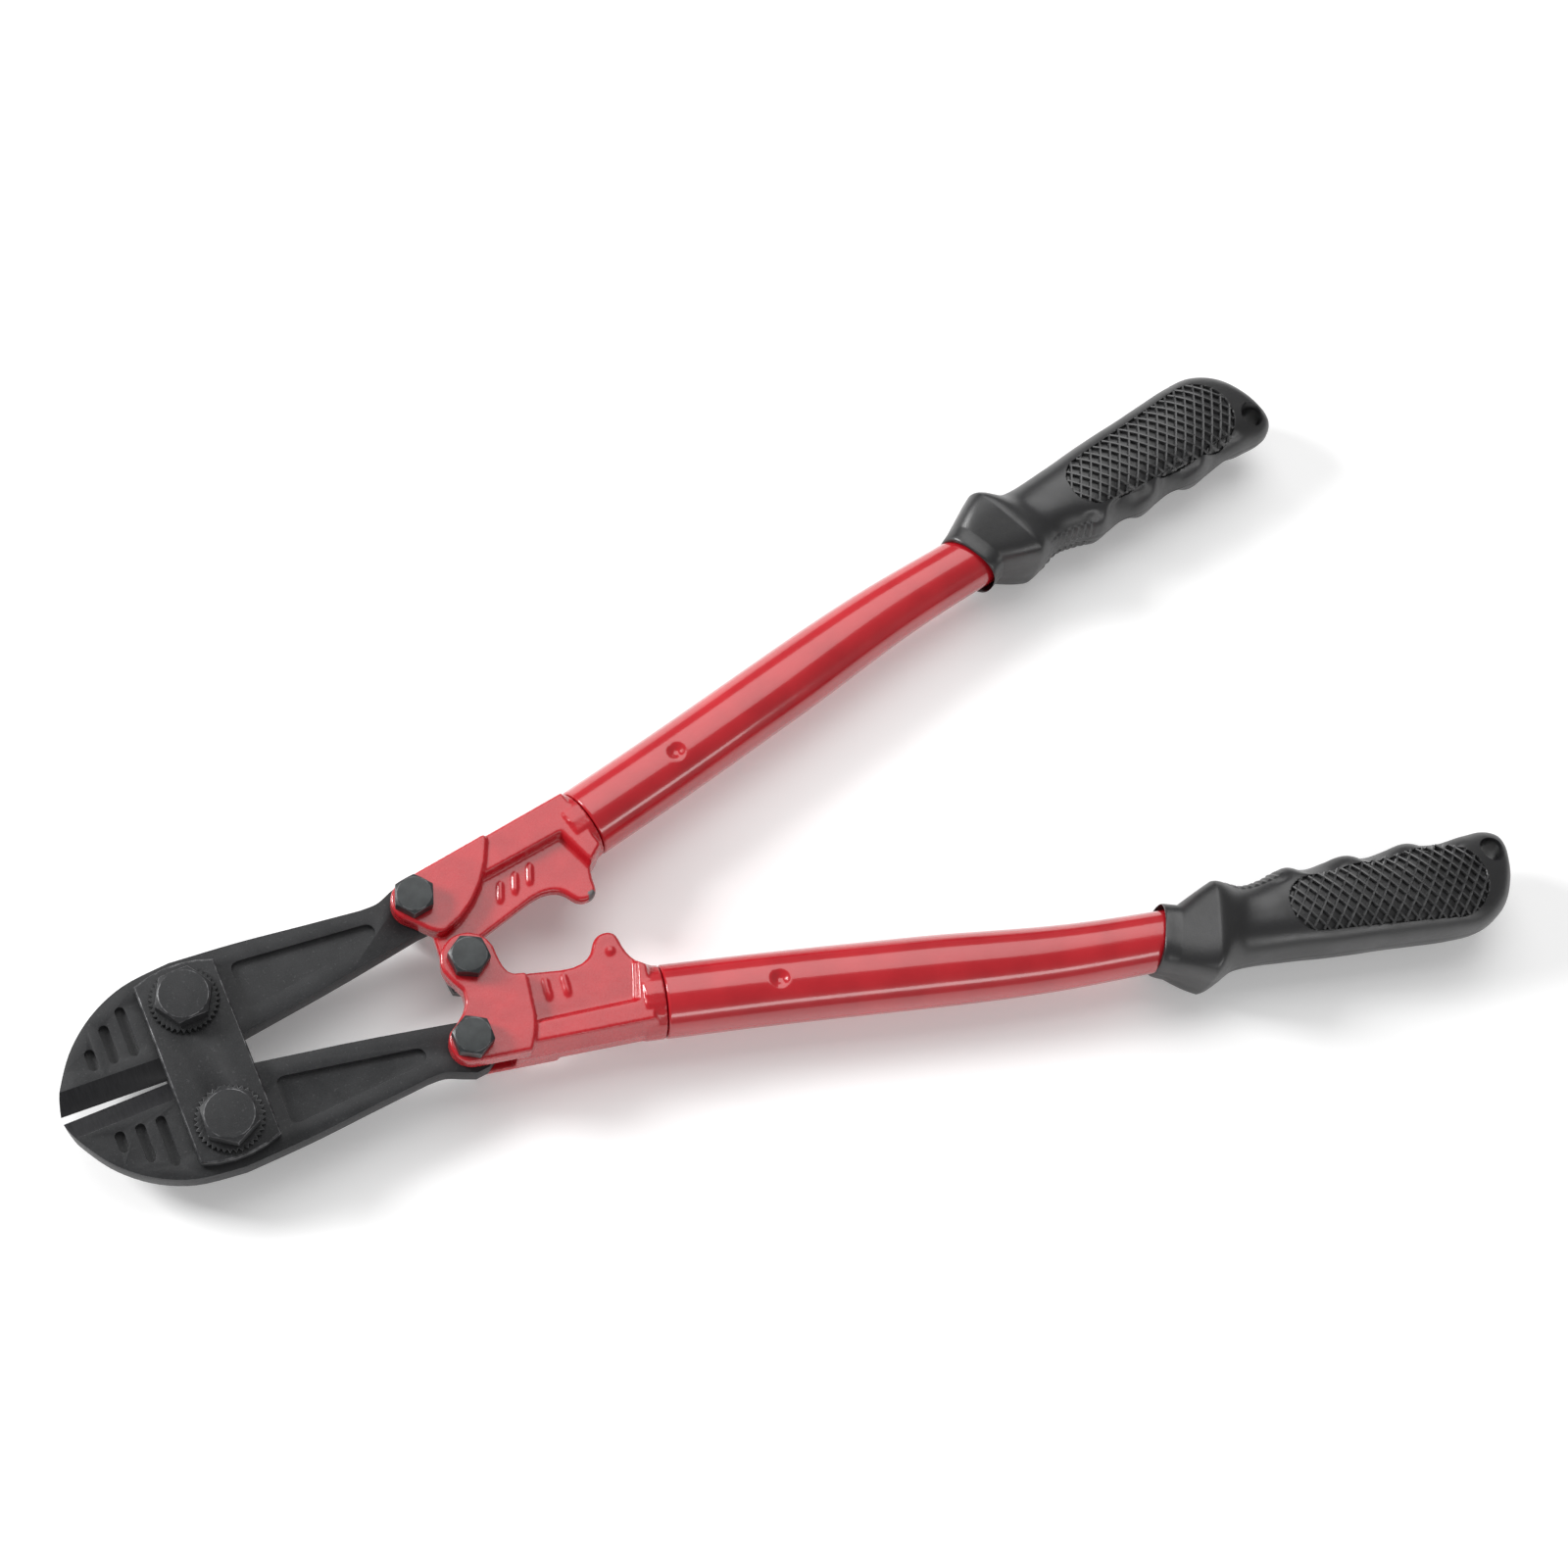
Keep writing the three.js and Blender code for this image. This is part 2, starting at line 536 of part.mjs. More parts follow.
function grip(name, material) {
  const rings = 2 * (GRIP_STATIONS.length - 1);
  const outside = loft(gripSection, rings, 20);
  const bore = tubeRun(0.5 * centreLine.getLength(), centreLine.getLength() + GAP, -GAP, 5, 20);
  const hangHole = new THREE.Vector2(end - 7.2, 84);
  const hole = disc(hangHole, HANG_HOLE_RADIUS, -COLLAR_HALF, COLLAR_HALF, 16);
  return named(name, cut(outside, bore, hole), material);
}

// ---------- materials ----------

function finish(color, roughness, metalness) {
  return new THREE.MeshStandardMaterial({ color, roughness, metalness });
}

const blackedSteel = finish('#3a3a3c', 0.55, 0.8);
const boltSteel = finish('#4b4f50', 0.45, 0.8);
const redPaint = finish('#b5161f', 0.3, 0);
const blackRubber = finish('#1f1f21', 0.6, 0);

// ---------- the tool ----------

const tool = new THREE.Group();
const halves = [
  { side: 'upper', turn: 0, sign: 1, holePlay: OPEN_PIVOT_PLAY, jawHex: 0.58, tailHex: 0.7 },
  { side: 'lower', turn: Math.PI, sign: -1, holePlay: 0, jawHex: -0.06, tailHex: 0 },
];

for (const { side, turn, sign, holePlay, jawHex, tailHex } of halves) {
  const half = new THREE.Group();
  half.rotation.x = turn;
  half.add(jaw(`${side}_jaw`, holePlay, blackedSteel));
  half.add(tube(`${side}_tube`, redPaint));
  half.add(grip(`${side}_grip`, blackRubber));
  tool.add(half);
  tool.add(head(`${side}_head`, side === 'lower', redPaint));

  // the jaw bolt passes a toothed washer, the two straps with the jaw between them, and a washer
  const jawBolt = new THREE.Vector2(0, sign * JAW_PIVOT_Y);
  const washerLow = STRAP_OUTER_Z + GAP;
  tool.add(toothedWasher(`${side}_front_washer`, jawBolt, washerLow, blackedSteel));
  tool.add(toothedWasher(`${side}_rear_washer`, jawBolt, -washerLow - WASHER_THICK, blackedSteel));
  tool.add(bolt(`${side}_jaw_bolt`, jawBolt, JAW_BOLT, JAW_BOLT_SEAT, JAW_BOLT_END, jawHex, blackedSteel));
  const jawNutLow = -JAW_BOLT_SEAT - JAW_BOLT.headHeight;
  tool.add(nut(`${side}_jaw_nut`, jawBolt, JAW_BOLT, jawNutLow, -JAW_BOLT_SEAT, jawHex, blackedSteel));

  // the tail bolt passes the cheek, the jaw's tail and the rear ear
  addPivot(`${side}_tail`, new THREE.Vector2(TAIL_X, sign * TAIL_Y), REAR_EAR_Z, tailHex);
}

// the centre bolt passes the lower head's plate, the upper head's eye and a spacer
const spacerTop = WEB_BACK_Z - GAP;
const spacer = disc(CENTRE, SPACER_RADIUS, spacerTop - SPACER_LENGTH, spacerTop);
const spacerBore = disc(CENTRE, PIVOT_BOLT.shank + GAP, -RUN_OUT - SPACER_LENGTH, spacerTop + RUN_OUT);
tool.add(named('centre_spacer', spacer.subtract(spacerBore), boltSteel));
addPivot('centre', CENTRE, spacerTop - SPACER_LENGTH, 0.07);

// A pivot bolt from the cheek's front face to its nut, which sits behind the last piece it clamps.
function addPivot(name, centre, back, turn) {
  const nutTop = back - GAP;
  const nutLow = nutTop - PIVOT_BOLT.headHeight;
  tool.add(bolt(`${name}_bolt`, centre, PIVOT_BOLT, CHEEK_FACE_Z + GAP, nutLow, turn, boltSteel));
  tool.add(nut(`${name}_nut`, centre, PIVOT_BOLT, nutLow, nutTop, turn, boltSteel));
}

tool.add(strap('front_strap', STRAP_INNER_Z, STRAP_OUTER_Z, blackedSteel));
tool.add(strap('rear_strap', -STRAP_OUTER_Z, -STRAP_INNER_Z, blackedSteel));

// The tool stands on z = 0, with the middle of its outline over the origin.
tool.updateMatrixWorld(true);
const bounds = new THREE.Box3().setFromObject(tool, true);
const middle = bounds.getCenter(new THREE.Vector3());
tool.position.set(-middle.x, -middle.y, -bounds.min.z);

export default tool;
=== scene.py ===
# %% [markdown]
# # Bolt cutters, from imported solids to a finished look
#
# The solids, their places and their joints come from the frame. This lesson gives them their looks:
# castings get soft edges, machined steel gets small bright bevels, and the tubes and grips are drawn
# again as fine surfaces. Everything is in metres and in the frame's own place.

# %% Loading the frame
import json
import math
import bpy
import bmesh
import numpy as np
from mathutils import Matrix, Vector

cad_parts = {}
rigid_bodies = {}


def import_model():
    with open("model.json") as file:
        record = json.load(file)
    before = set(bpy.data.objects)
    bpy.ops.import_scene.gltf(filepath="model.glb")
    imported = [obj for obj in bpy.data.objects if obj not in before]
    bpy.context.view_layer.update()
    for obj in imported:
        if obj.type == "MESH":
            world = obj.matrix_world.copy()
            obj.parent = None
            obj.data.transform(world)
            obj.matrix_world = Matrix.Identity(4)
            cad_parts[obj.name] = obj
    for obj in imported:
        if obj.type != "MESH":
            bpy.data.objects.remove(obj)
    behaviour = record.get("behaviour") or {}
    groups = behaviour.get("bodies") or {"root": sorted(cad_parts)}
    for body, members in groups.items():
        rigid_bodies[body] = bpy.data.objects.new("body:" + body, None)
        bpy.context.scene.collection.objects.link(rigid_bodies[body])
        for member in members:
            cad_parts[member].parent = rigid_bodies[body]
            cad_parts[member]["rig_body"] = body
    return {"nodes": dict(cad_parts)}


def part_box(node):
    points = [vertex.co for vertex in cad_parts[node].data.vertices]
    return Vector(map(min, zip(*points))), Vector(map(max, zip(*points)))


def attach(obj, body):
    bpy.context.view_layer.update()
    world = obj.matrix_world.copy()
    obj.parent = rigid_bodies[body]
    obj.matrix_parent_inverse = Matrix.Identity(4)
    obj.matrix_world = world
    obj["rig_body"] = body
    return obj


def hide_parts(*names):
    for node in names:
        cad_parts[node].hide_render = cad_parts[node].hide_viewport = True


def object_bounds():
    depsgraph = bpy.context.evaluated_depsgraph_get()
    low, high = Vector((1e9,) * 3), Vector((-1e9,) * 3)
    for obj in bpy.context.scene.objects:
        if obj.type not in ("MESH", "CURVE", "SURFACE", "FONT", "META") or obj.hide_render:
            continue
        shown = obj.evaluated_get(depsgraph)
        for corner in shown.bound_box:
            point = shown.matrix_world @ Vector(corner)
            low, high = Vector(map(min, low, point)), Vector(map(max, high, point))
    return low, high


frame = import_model()
cad_box = [list(corner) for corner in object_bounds()]
MM = 0.001
print("CAD box, mm:", [[round(1000 * v, 1) for v in corner] for corner in cad_box])

# %% [markdown]
# The tool was drawn about its own origin, the middle of its two straps. Its sizes are easier to read
# from there, in millimetres, with x toward the grips and y toward the upper handle. One function
# turns such positions into places in the frame, so that no piece needs fitting afterwards.

# %% The tool's own origin
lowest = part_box("rear_strap")[0]
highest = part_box("front_strap")[1]
ORIGIN = np.array([(a + b) / 2 for a, b in zip(lowest, highest)])


def placed(points):
    """Points in the tool's own millimetres, moved to the frame: origin + points / 1000."""
    return ORIGIN + np.asarray(points, float) * MM


print("tool origin, mm:", (ORIGIN / MM).round(3))

# %% [markdown]
# Every new object, whether mesh, lamp or camera, is linked to the scene in the same way.

# %% Adding to the scene


def added(name, data):
    """A new object that holds the data, linked to the scene at the origin, unturned and unscaled."""
    made = bpy.data.objects.new(name, data)
    bpy.context.scene.collection.objects.link(made)
    return made


def mesh_piece(name, points, faces, material):
    mesh = bpy.data.meshes.new(name)
    mesh.from_pydata(points, [], faces)
    mesh.materials.append(material)
    return added(name, mesh)


def posed(axes, place):
    """The matrix of an object whose own x, y and z point along the three axes, at a place in metres."""
    turn = Matrix([[axis[i] for axis in axes] for i in range(3)]).to_4x4()
    return Matrix.Translation(place) @ turn


# %% [markdown]
# ## The camera
# It looks down on the tool from the front left. A camera's own axes are right, up and backwards, so
# those three directions are the columns of its rotation.

# %% Camera
CAMERA_PLACE = [-47.6, -199.7, 734.9]
FILM_WIDTH, FOCAL_LENGTH = 36, 59.12
right = np.array([0.8957, -0.4098, 0.1720])
up = np.array([0.3274, 0.8701, 0.3684])
view = bpy.data.cameras.new("view")
view.sensor_fit = "HORIZONTAL"
view.sensor_width = FILM_WIDTH
view.lens = FOCAL_LENGTH
view.clip_start = 20 * MM
camera = added("view", view)
camera.matrix_world = posed((right, up, np.cross(right, up)), placed(CAMERA_PLACE))
bpy.context.scene.camera = camera
print("camera at, mm:", (np.array(camera.matrix_world.translation) / MM).round(1))

# %% [markdown]
# ## Shader arithmetic
# A finish is easier to read as sums than as boxes and wires. This class wraps one output of a node.
# Python's operators then add Math nodes, and one method adds any other node.

# %% A socket that does arithmetic


class Wire:
    def __init__(self, tree, socket):
        self.tree, self.socket = tree, socket

    def node(self, kind, settings=None, inputs=None, output=0):
        """Adds a node, sets its settings first and then its sockets, and returns one output."""
        made = self.tree.nodes.new(kind)
        for key, value in (settings or {}).items():
            setattr(made, key, value)
        for key, value in (inputs or {}).items():
            if isinstance(value, Wire):
                self.tree.links.new(value.socket, made.inputs[key])
            else:
                made.inputs[key].default_value = value
        return Wire(self.tree, made.outputs[output])

    def math(self, operation, first, second=0.0):
        return self.node("ShaderNodeMath", {"operation": operation}, {0: first, 1: second})

    def __add__(self, other):
        return self.math("ADD", self, other)

    __radd__ = __add__

    def __mul__(self, other):
        return self.math("MULTIPLY", self, other)

    __rmul__ = __mul__

    def __sub__(self, other):
        return self.math("SUBTRACT", self, other)

    def __rsub__(self, other):
        return self.math("SUBTRACT", other, self)

    def step(self, low, high):
        """0 below low, 1 above high, and a smooth climb between."""
        limits = {"Value": self, "From Min": low, "From Max": high}
        return self.node("ShaderNodeMapRange", {"interpolation_type": "SMOOTHSTEP"}, limits)

    def noise(self, size, detail=2.0, roughness=0.5):
        """Soft random clouds, whose largest lumps are about this many millimetres across."""
        inputs = {"Vector": self, "Scale": 1 / (size * MM), "Detail": detail, "Roughness": roughness}
        return self.node("ShaderNodeTexNoise", None, inputs)

    def mix(self, low, high):
        """A colour between two, as this value goes from 0 to 1. Sockets 6 and 7 are its colours."""
        low, high = (colour if isinstance(colour, Wire) else (*colour, 1) for colour in (low, high))
        return self.node("ShaderNodeMix", {"data_type": "RGBA"}, {"Factor": self, 6: low, 7: high}, 2)

    def distance(self, point):
        """How far each place on the surface is from a point, in metres."""
        settings = {"operation": "DISTANCE"}
        return self.node("ShaderNodeVectorMath", settings, {0: self, 1: tuple(point)}, "Value")


# %% [markdown]
# A finish is a Principled shader with a few of its sockets fed. What stays the same all over is set
# on the shader itself; what changes over the surface is a Wire.

# %% Making a finish


def finish(name, build, **constants):
    """A material. build(place) returns a dict of wires and values for the shader's sockets, and
    may hold "height", a wire in metres that becomes bumps."""
    material = bpy.data.materials.new(name)
    material.use_nodes = True
    tree = material.node_tree
    shader = tree.nodes["Principled BSDF"]
    for key, value in constants.items():
        shader.inputs[key.replace("_", " ")].default_value = value
    fed = build(Wire(tree, None).node("ShaderNodeTexCoord", output="Object"))
    height = fed.pop("height", None)
    if height is not None:
        relief = {"Height": height, "Distance": 1.0, "Strength": 1.0}
        fed["Normal"] = height.node("ShaderNodeBump", None, relief)
    for key, value in fed.items():
        tree.links.new(value.socket, shader.inputs[key])
    print("finish", name, "with", len(tree.nodes), "nodes")
    return material


# %% [markdown]
# ## Red enamel
# The heads are sprayed castings: the paint is glossy, but the sand's texture shows through it as
# shallow lumps, and its colour is a little deeper where it lies thick. On the stop that meets its
# fellow each time the handles close, the paint is knocked off and grey iron shows.

# %% Finishes for the castings and the tubes
RED_DEEP, RED_BRIGHT = (0.40, 0.006, 0.013), (0.48, 0.010, 0.018)
BARE_IRON = (0.16, 0.15, 0.15)
STOP = placed([122.2, 7.0, 5.0])  # the corner of the upper head's stop
CHIPPED, UNTOUCHED = 1.2 * MM, 3.2 * MM  # distances from that corner


def cast_enamel(place):
    sand = place.noise(1.6, 4, 0.6)
    lumps = place.noise(6, 2)
    peel = place.noise(0.5, 1)
    chips = place.noise(1.1, 3, 0.7)
    near_stop = 1 - place.distance(STOP).step(CHIPPED, UNTOUCHED)
    bare = (near_stop * 0.9 + chips * 0.8).step(0.98, 1.1)
    red = place.noise(9, 3).step(0.3, 0.75).mix(RED_DEEP, RED_BRIGHT)
    return {
        "Base Color": bare.mix(red, BARE_IRON),
        "Metallic": bare * 0.7,
        "Roughness": sand * 0.14 + 0.2 + bare * 0.2,
        "Coat Weight": 0.5 - bare * 0.5,
        "height": sand * (0.06 * MM) + lumps * (0.13 * MM) + peel * (0.008 * MM),
    }


def tube_enamel(place):
    peel = place.noise(1.3, 2)
    sway = place.noise(14, 1)
    return {
        "Base Color": place.noise(16, 3).step(0.3, 0.7).mix(RED_DEEP, RED_BRIGHT),
        "Roughness": place.noise(5, 3) * 0.1 + 0.17,
        "height": peel * (0.014 * MM) + sway * (0.05 * MM),
    }


RED_CAST = finish("red_enamel_on_casting", cast_enamel, Coat_Roughness=0.1, IOR=1.5)
RED_TUBE = finish("red_enamel_on_tube", tube_enamel, Coat_Weight=0.8, Coat_Roughness=0.08)

# %% [markdown]
# ## Blacked steel
# The jaws and straps are forged, then blacked in a hot salt bath. The oxide is charcoal, faintly
# metallic and finely grained. It wears off first along the edges, so the small bevels get a lighter
# finish of their own, and the blades' ground faces are smoother.

# %% Finishes for steel
OXIDE_DARK, OXIDE_PALE = (0.011, 0.0115, 0.0125), (0.027, 0.0275, 0.029)
OXIDE_SPECK = (0.07, 0.07, 0.072)
EDGE_DARK, EDGE_BRIGHT = (0.02, 0.02, 0.022), (0.13, 0.13, 0.134)
GROUND_DARK, GROUND_PALE = (0.009, 0.009, 0.01), (0.019, 0.019, 0.021)
BOLT_DARK, BOLT_PALE = (0.014, 0.017, 0.018), (0.028, 0.033, 0.034)
SQUEEZE = (9.0, 0.8, 0.8)  # how much faster the grinding marks change along x, y and z


def oxide(place):
    grain = place.noise(0.35, 3, 0.7)
    cloud = place.noise(11, 4, 0.6)
    specks = place.noise(0.9, 2).step(0.62, 0.72)
    tone = (cloud * 0.7 + grain * 0.5).step(0.35, 0.85).mix(OXIDE_DARK, OXIDE_PALE)
    return {
        "Base Color": (specks * 0.3).mix(tone, OXIDE_SPECK),
        "Roughness": cloud * 0.14 + grain * 0.12 + 0.36,
        "height": grain * (0.05 * MM) + place.noise(2.2, 3) * (0.05 * MM),
    }


def worn_edge(place):
    rub = place.noise(3, 4, 0.65).step(0.38, 0.66)
    return {
        "Base Color": rub.mix(EDGE_DARK, EDGE_BRIGHT),
        "Roughness": rub * -0.12 + 0.46,
        "height": place.noise(0.5, 2) * (0.03 * MM),
    }


def ground_face(place):
    """Grinding marks: noise squeezed along the blade, so that it draws into fine lines across it."""
    drawn = place.node("ShaderNodeVectorMath", {"operation": "MULTIPLY"}, {0: place, 1: SQUEEZE})
    marks = drawn.noise(3.2, 3, 0.7)
    return {
        "Base Color": marks.step(0.2, 0.9).mix(GROUND_DARK, GROUND_PALE),
        "Roughness": marks * 0.12 + 0.28,
        "height": marks * (0.008 * MM),
    }


def bolt_skin(place):
    cloud = place.noise(4, 3)
    return {
        "Base Color": cloud.step(0.3, 0.7).mix(BOLT_DARK, BOLT_PALE),
        "Roughness": place.noise(0.8, 2) * 0.14 + 0.3,
        "height": place.noise(0.4, 2) * (0.025 * MM) + cloud * (0.04 * MM),
    }


OXIDE = finish("black_oxide", oxide, Specular_IOR_Level=0.3)
WORN = finish("worn_edge", worn_edge, Metallic=0.4)
GROUND = finish("ground_blade", ground_face, Specular_IOR_Level=0.3)
BOLTS = finish("phosphate_bolt", bolt_skin, Specular_IOR_Level=0.45)

# %% [markdown]
# ## Black rubber
# The grips are moulded in a soft black plastic. It is never quite black: a fine eroded texture from
# the mould scatters light, and handling polishes it in patches. The ridges that hands press on are
# polished smoother than the rest and greyed with dust in patches. Their colour is also painted paler
# all over, as painted light on the ridge tops against the shade in the pits between them. So they
# have a finish of their own.

# %% Finishes for the grips
RUBBER_DARK, RUBBER_WORN = (0.008, 0.008, 0.0085), (0.014, 0.014, 0.015)
# Both ridge colours are painted paler than the rubber, as painted light on the ridge tops; the second is
# also dusty.
RIDGE_PAINTED_LIT, RIDGE_PAINTED_LIT_DUSTY = (0.02, 0.02, 0.021), (0.045, 0.045, 0.046)


def rubber(place):
    pores = place.noise(0.3, 2, 0.6)
    handled = place.noise(13, 3).step(0.35, 0.7)
    return {
        "Base Color": handled.mix(RUBBER_DARK, RUBBER_WORN),
        "Roughness": pores * 0.12 + 0.34 - handled * 0.08,
        "height": pores * (0.03 * MM) + place.noise(2, 2) * (0.03 * MM),
    }


def painted_lit_dusty(place):
    """Ridges that hands have polished and dust has greyed in patches, painted paler all over as painted
    light on their tops.
    """
    dust = place.noise(1.5, 3).step(0.3, 0.7)
    return {
        "Base Color": dust.mix(RIDGE_PAINTED_LIT, RIDGE_PAINTED_LIT_DUSTY),
        "Roughness": dust * 0.12 + 0.24,
        "height": place.noise(0.3, 2, 0.6) * (0.02 * MM),
    }


RUBBER = finish("moulded_rubber", rubber, Specular_IOR_Level=0.75)
# The ridges' finish: painted light on their tops, with dusty patches.
PAINTED_LIT_RIDGE_RUBBER = finish("painted_lit_dusty_ridges", painted_lit_dusty, Specular_IOR_Level=0.8)

# %% [markdown]
# ## Machined pieces
# Flat plates, bolts and washers need no new shape, only what every real edge has: a small bevel that
# catches the light. A CAD mesh is loose triangles, so a copy is merged, its flat faces are joined,
# and the Bevel modifier cuts only the sharp edges. The new faces take the second material.

# %% Bevelled copies of the CAD nodes
SAME_POINT = 2e-6  # corners nearer than this, in metres, are one
SAME_PLANE = math.radians(0.6)  # and faces that lean less than this from each other


def settled(piece):
    """The piece with its modifiers applied to its mesh."""
    graph = bpy.context.evaluated_depsgraph_get()
    mesh = bpy.data.meshes.new_from_object(piece.evaluated_get(graph))
    piece.modifiers.clear()
    piece.data = mesh
    return piece


def merged_copy(node, name):
    """A copy of a CAD node whose loose triangles are joined into whole flat faces."""
    mesh = frame["nodes"][node].data.copy()
    work = bmesh.new()
    work.from_mesh(mesh)
    bmesh.ops.remove_doubles(work, verts=work.verts, dist=SAME_POINT)
    bmesh.ops.dissolve_limit(work, angle_limit=SAME_PLANE, verts=work.verts, edges=work.edges)
    work.to_mesh(mesh)
    work.free()
    mesh.materials.clear()
    return added(name, mesh)


def shown_for(piece, node):
    """The piece rides where its CAD node rides, and is shown in its place."""
    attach(piece, frame["nodes"][node]["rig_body"])
    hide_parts(node)
    return piece


def smoothed(piece, degrees):
    """The piece shaded smooth, except along edges sharper than this."""
    piece.data.polygons.foreach_set("use_smooth", np.ones(len(piece.data.polygons), bool))
    piece.data.set_sharp_from_angle(angle=math.radians(degrees))
    return piece


def machined(node, materials, width, sort=None, sharp=30):
    """A bevelled copy in place of its node. The bevels, width mm wide, take the second material, and
    sort(mesh) may give the other faces' material numbers."""
    piece = merged_copy(node, node + "_piece")
    for material in materials:
        piece.data.materials.append(material)
    if sort is not None:
        piece.data.polygons.foreach_set("material_index", sort(piece.data).astype(np.int32))
    bevel = piece.modifiers.new("edges", "BEVEL")
    bevel.width = width * MM
    bevel.segments = 2
    bevel.limit_method = "ANGLE"
    bevel.angle_limit = math.radians(sharp)
    bevel.material = 1
    bevel.miter_outer = "MITER_ARC"
    smoothed(settled(piece), sharp)
    return shown_for(piece, node)


# %% [markdown]
# On a jaw, the ground faces are the ones that lean: their normals are neither up nor sideways. They
# are picked out by that, and by lying in front of the straps and near the cutting edge. A bolt's
# chamfer meets its top at a shallow angle, so fasteners are bevelled at gentler corners too.

# %% Jaws, straps, bolts, nuts and washers
JAW_EDGE, STRAP_EDGE, WASHER_EDGE = 0.3, 0.35, 0.12
JAW_BOLT_EDGE, PIVOT_BOLT_EDGE = 0.16, 0.14
CHAMFER_SHARP = 16  # degrees
STEEPEST, FLATTEST = 0.3, 0.97  # upward part of a ground face's normal
BLADE_END_X, BLADE_REACH_Y = -8, 9


def blade_faces(mesh):
    """Material 2 where a face leans between 14 and 73 degrees and lies on the blade, and 0 elsewhere."""
    count = len(mesh.polygons)
    normal, centre = np.zeros(3 * count), np.zeros(3 * count)
    mesh.polygons.foreach_get("normal", normal)
    mesh.polygons.foreach_get("center", centre)
    lean = np.abs(normal.reshape(-1, 3)[:, 2])
    place = (centre.reshape(-1, 3) - ORIGIN) / MM
    on_blade = (place[:, 0] < BLADE_END_X) & (np.abs(place[:, 1]) < BLADE_REACH_Y)
    return 2 * ((lean > STEEPEST) & (lean < FLATTEST) & on_blade)


for side in ("upper", "lower"):
    machined(side + "_jaw", (OXIDE, WORN, GROUND), JAW_EDGE, blade_faces)
    for part in ("front_washer", "rear_washer"):
        machined(f"{side}_{part}", (OXIDE, WORN), WASHER_EDGE)
    for part in ("jaw_bolt", "jaw_nut"):
        machined(f"{side}_{part}", (OXIDE, WORN), JAW_BOLT_EDGE, sharp=CHAMFER_SHARP)
    for part in ("tail_bolt", "tail_nut"):
        machined(f"{side}_{part}", (BOLTS, WORN), PIVOT_BOLT_EDGE, sharp=CHAMFER_SHARP)
for part in ("centre_bolt", "centre_nut", "centre_spacer"):
    machined(part, (BOLTS, WORN), PIVOT_BOLT_EDGE, sharp=CHAMFER_SHARP)
for part in ("front_strap", "rear_strap"):
    machined(part, (OXIDE, WORN), STRAP_EDGE)

# %% [markdown]
# ## Surfaces on a grid
# The other pieces are surfaces of two parameters: rows run along the piece, columns run round it.
# Columns always close on themselves. Rows either close too, like a pipe wall that turns back inside
# itself, or end in a point at each end. A mesh whose volume comes out negative is inside out, so its
# faces are turned round.

# %% From a grid of points to a closed piece


def once_round(columns):
    """Evenly spaced angles once round, as one row."""
    return np.linspace(0, 2 * math.pi, columns, endpoint=False)[None, :]


def grid_faces(rows, columns, wrap_rows):
    """Quads between neighbouring rows and columns of a grid that is numbered row by row."""
    row = np.arange(rows if wrap_rows else rows - 1)[:, None]
    column = np.arange(columns)[None, :]
    here, beyond = row * columns, (row + 1) % rows * columns
    side = (column + 1) % columns
    return np.stack([here + column, here + side, beyond + side, beyond + column], -1).reshape(-1, 4)


def signed_volume(points, quads):
    """Sum over each quad's two triangles of a . (b x c) / 6."""
    a, b, c, d = (points[quads[:, i]] for i in range(4))
    halves = (a * np.cross(b, c)).sum() + (a * np.cross(c, d)).sum()
    return halves / 6


def surface(name, grid, material, wrap_rows=False):
    """A closed mesh from a grid of frame points, shape (rows, columns, 3)."""
    rows, columns = grid.shape[:2]
    points = grid.reshape(-1, 3)
    quads = grid_faces(rows, columns, wrap_rows)
    turned = signed_volume(points - points.mean(0), quads) < 0
    faces = quads[:, ::-1] if turned else quads
    faces = faces.tolist()
    if not wrap_rows:
        column = np.arange(columns)
        beside = (column + 1) % columns
        last = (rows - 1) * columns
        ends = np.stack([grid[0].mean(0), grid[-1].mean(0)])
        first_fan = np.stack([beside, column, np.full(columns, len(points))], 1)
        last_fan = np.stack([last + column, last + beside, np.full(columns, len(points) + 1)], 1)
        fans = np.concatenate([first_fan, last_fan])
        faces += (fans[:, ::-1] if turned else fans).tolist()
        points = np.concatenate([points, ends])
    return mesh_piece(name, points, faces, material)


# %% [markdown]
# ## Curves through points
# A Catmull-Rom curve passes through every point it is given. With equal steps it is the plain kind;
# with steps that grow as the root of the distance it never loops, which suits uneven spacing.

# %% Catmull-Rom curves in numpy


def through(points, t, rooted=False):
    """The curve through the points, at t from 0 to len - 1. Between points 1 and 2 it is the cubic
    whose slopes at its ends are t1 and t2, each a mean of the neighbouring steps' slopes."""
    points = np.asarray(points, float)
    if rooted:
        first, last = 2 * points[0] - points[1], 2 * points[-1] - points[-2]
    else:
        first, last = points[0], points[-1]
    padded = np.vstack([first, points, last])
    index = np.clip(np.floor(t).astype(int), 0, len(points) - 2)
    x0, x1, x2, x3 = (padded[index + i] for i in range(4))
    step = [np.ones((len(index), 1))] * 3
    if rooted:
        pairs = ((x0, x1), (x1, x2), (x2, x3))
        step = [np.linalg.norm(b - a, axis=1, keepdims=True) ** 0.5 for a, b in pairs]
    d0, d1, d2 = step
    t1 = ((x1 - x0) / d0 - (x2 - x0) / (d0 + d1) + (x2 - x1) / d1) * d1
    t2 = ((x2 - x1) / d1 - (x3 - x1) / (d1 + d2) + (x3 - x2) / d2) * d1
    s = (t - index)[:, None]
    cubic = 2 * x1 - 2 * x2 + t1 + t2
    square = -3 * x1 + 3 * x2 - 2 * t1 - t2
    return ((cubic * s + square) * s + t1) * s + x1


def eased(value, low, high):
    """0 below low, 1 above high, and 3s^2 - 2s^3 between."""
    s = np.clip((value - low) / (high - low), 0, 1)
    return s * s * (3 - 2 * s)


def bent(value, power):
    """The value's size raised to a power, with its sign kept."""
    return np.sign(value) * np.abs(value) ** power


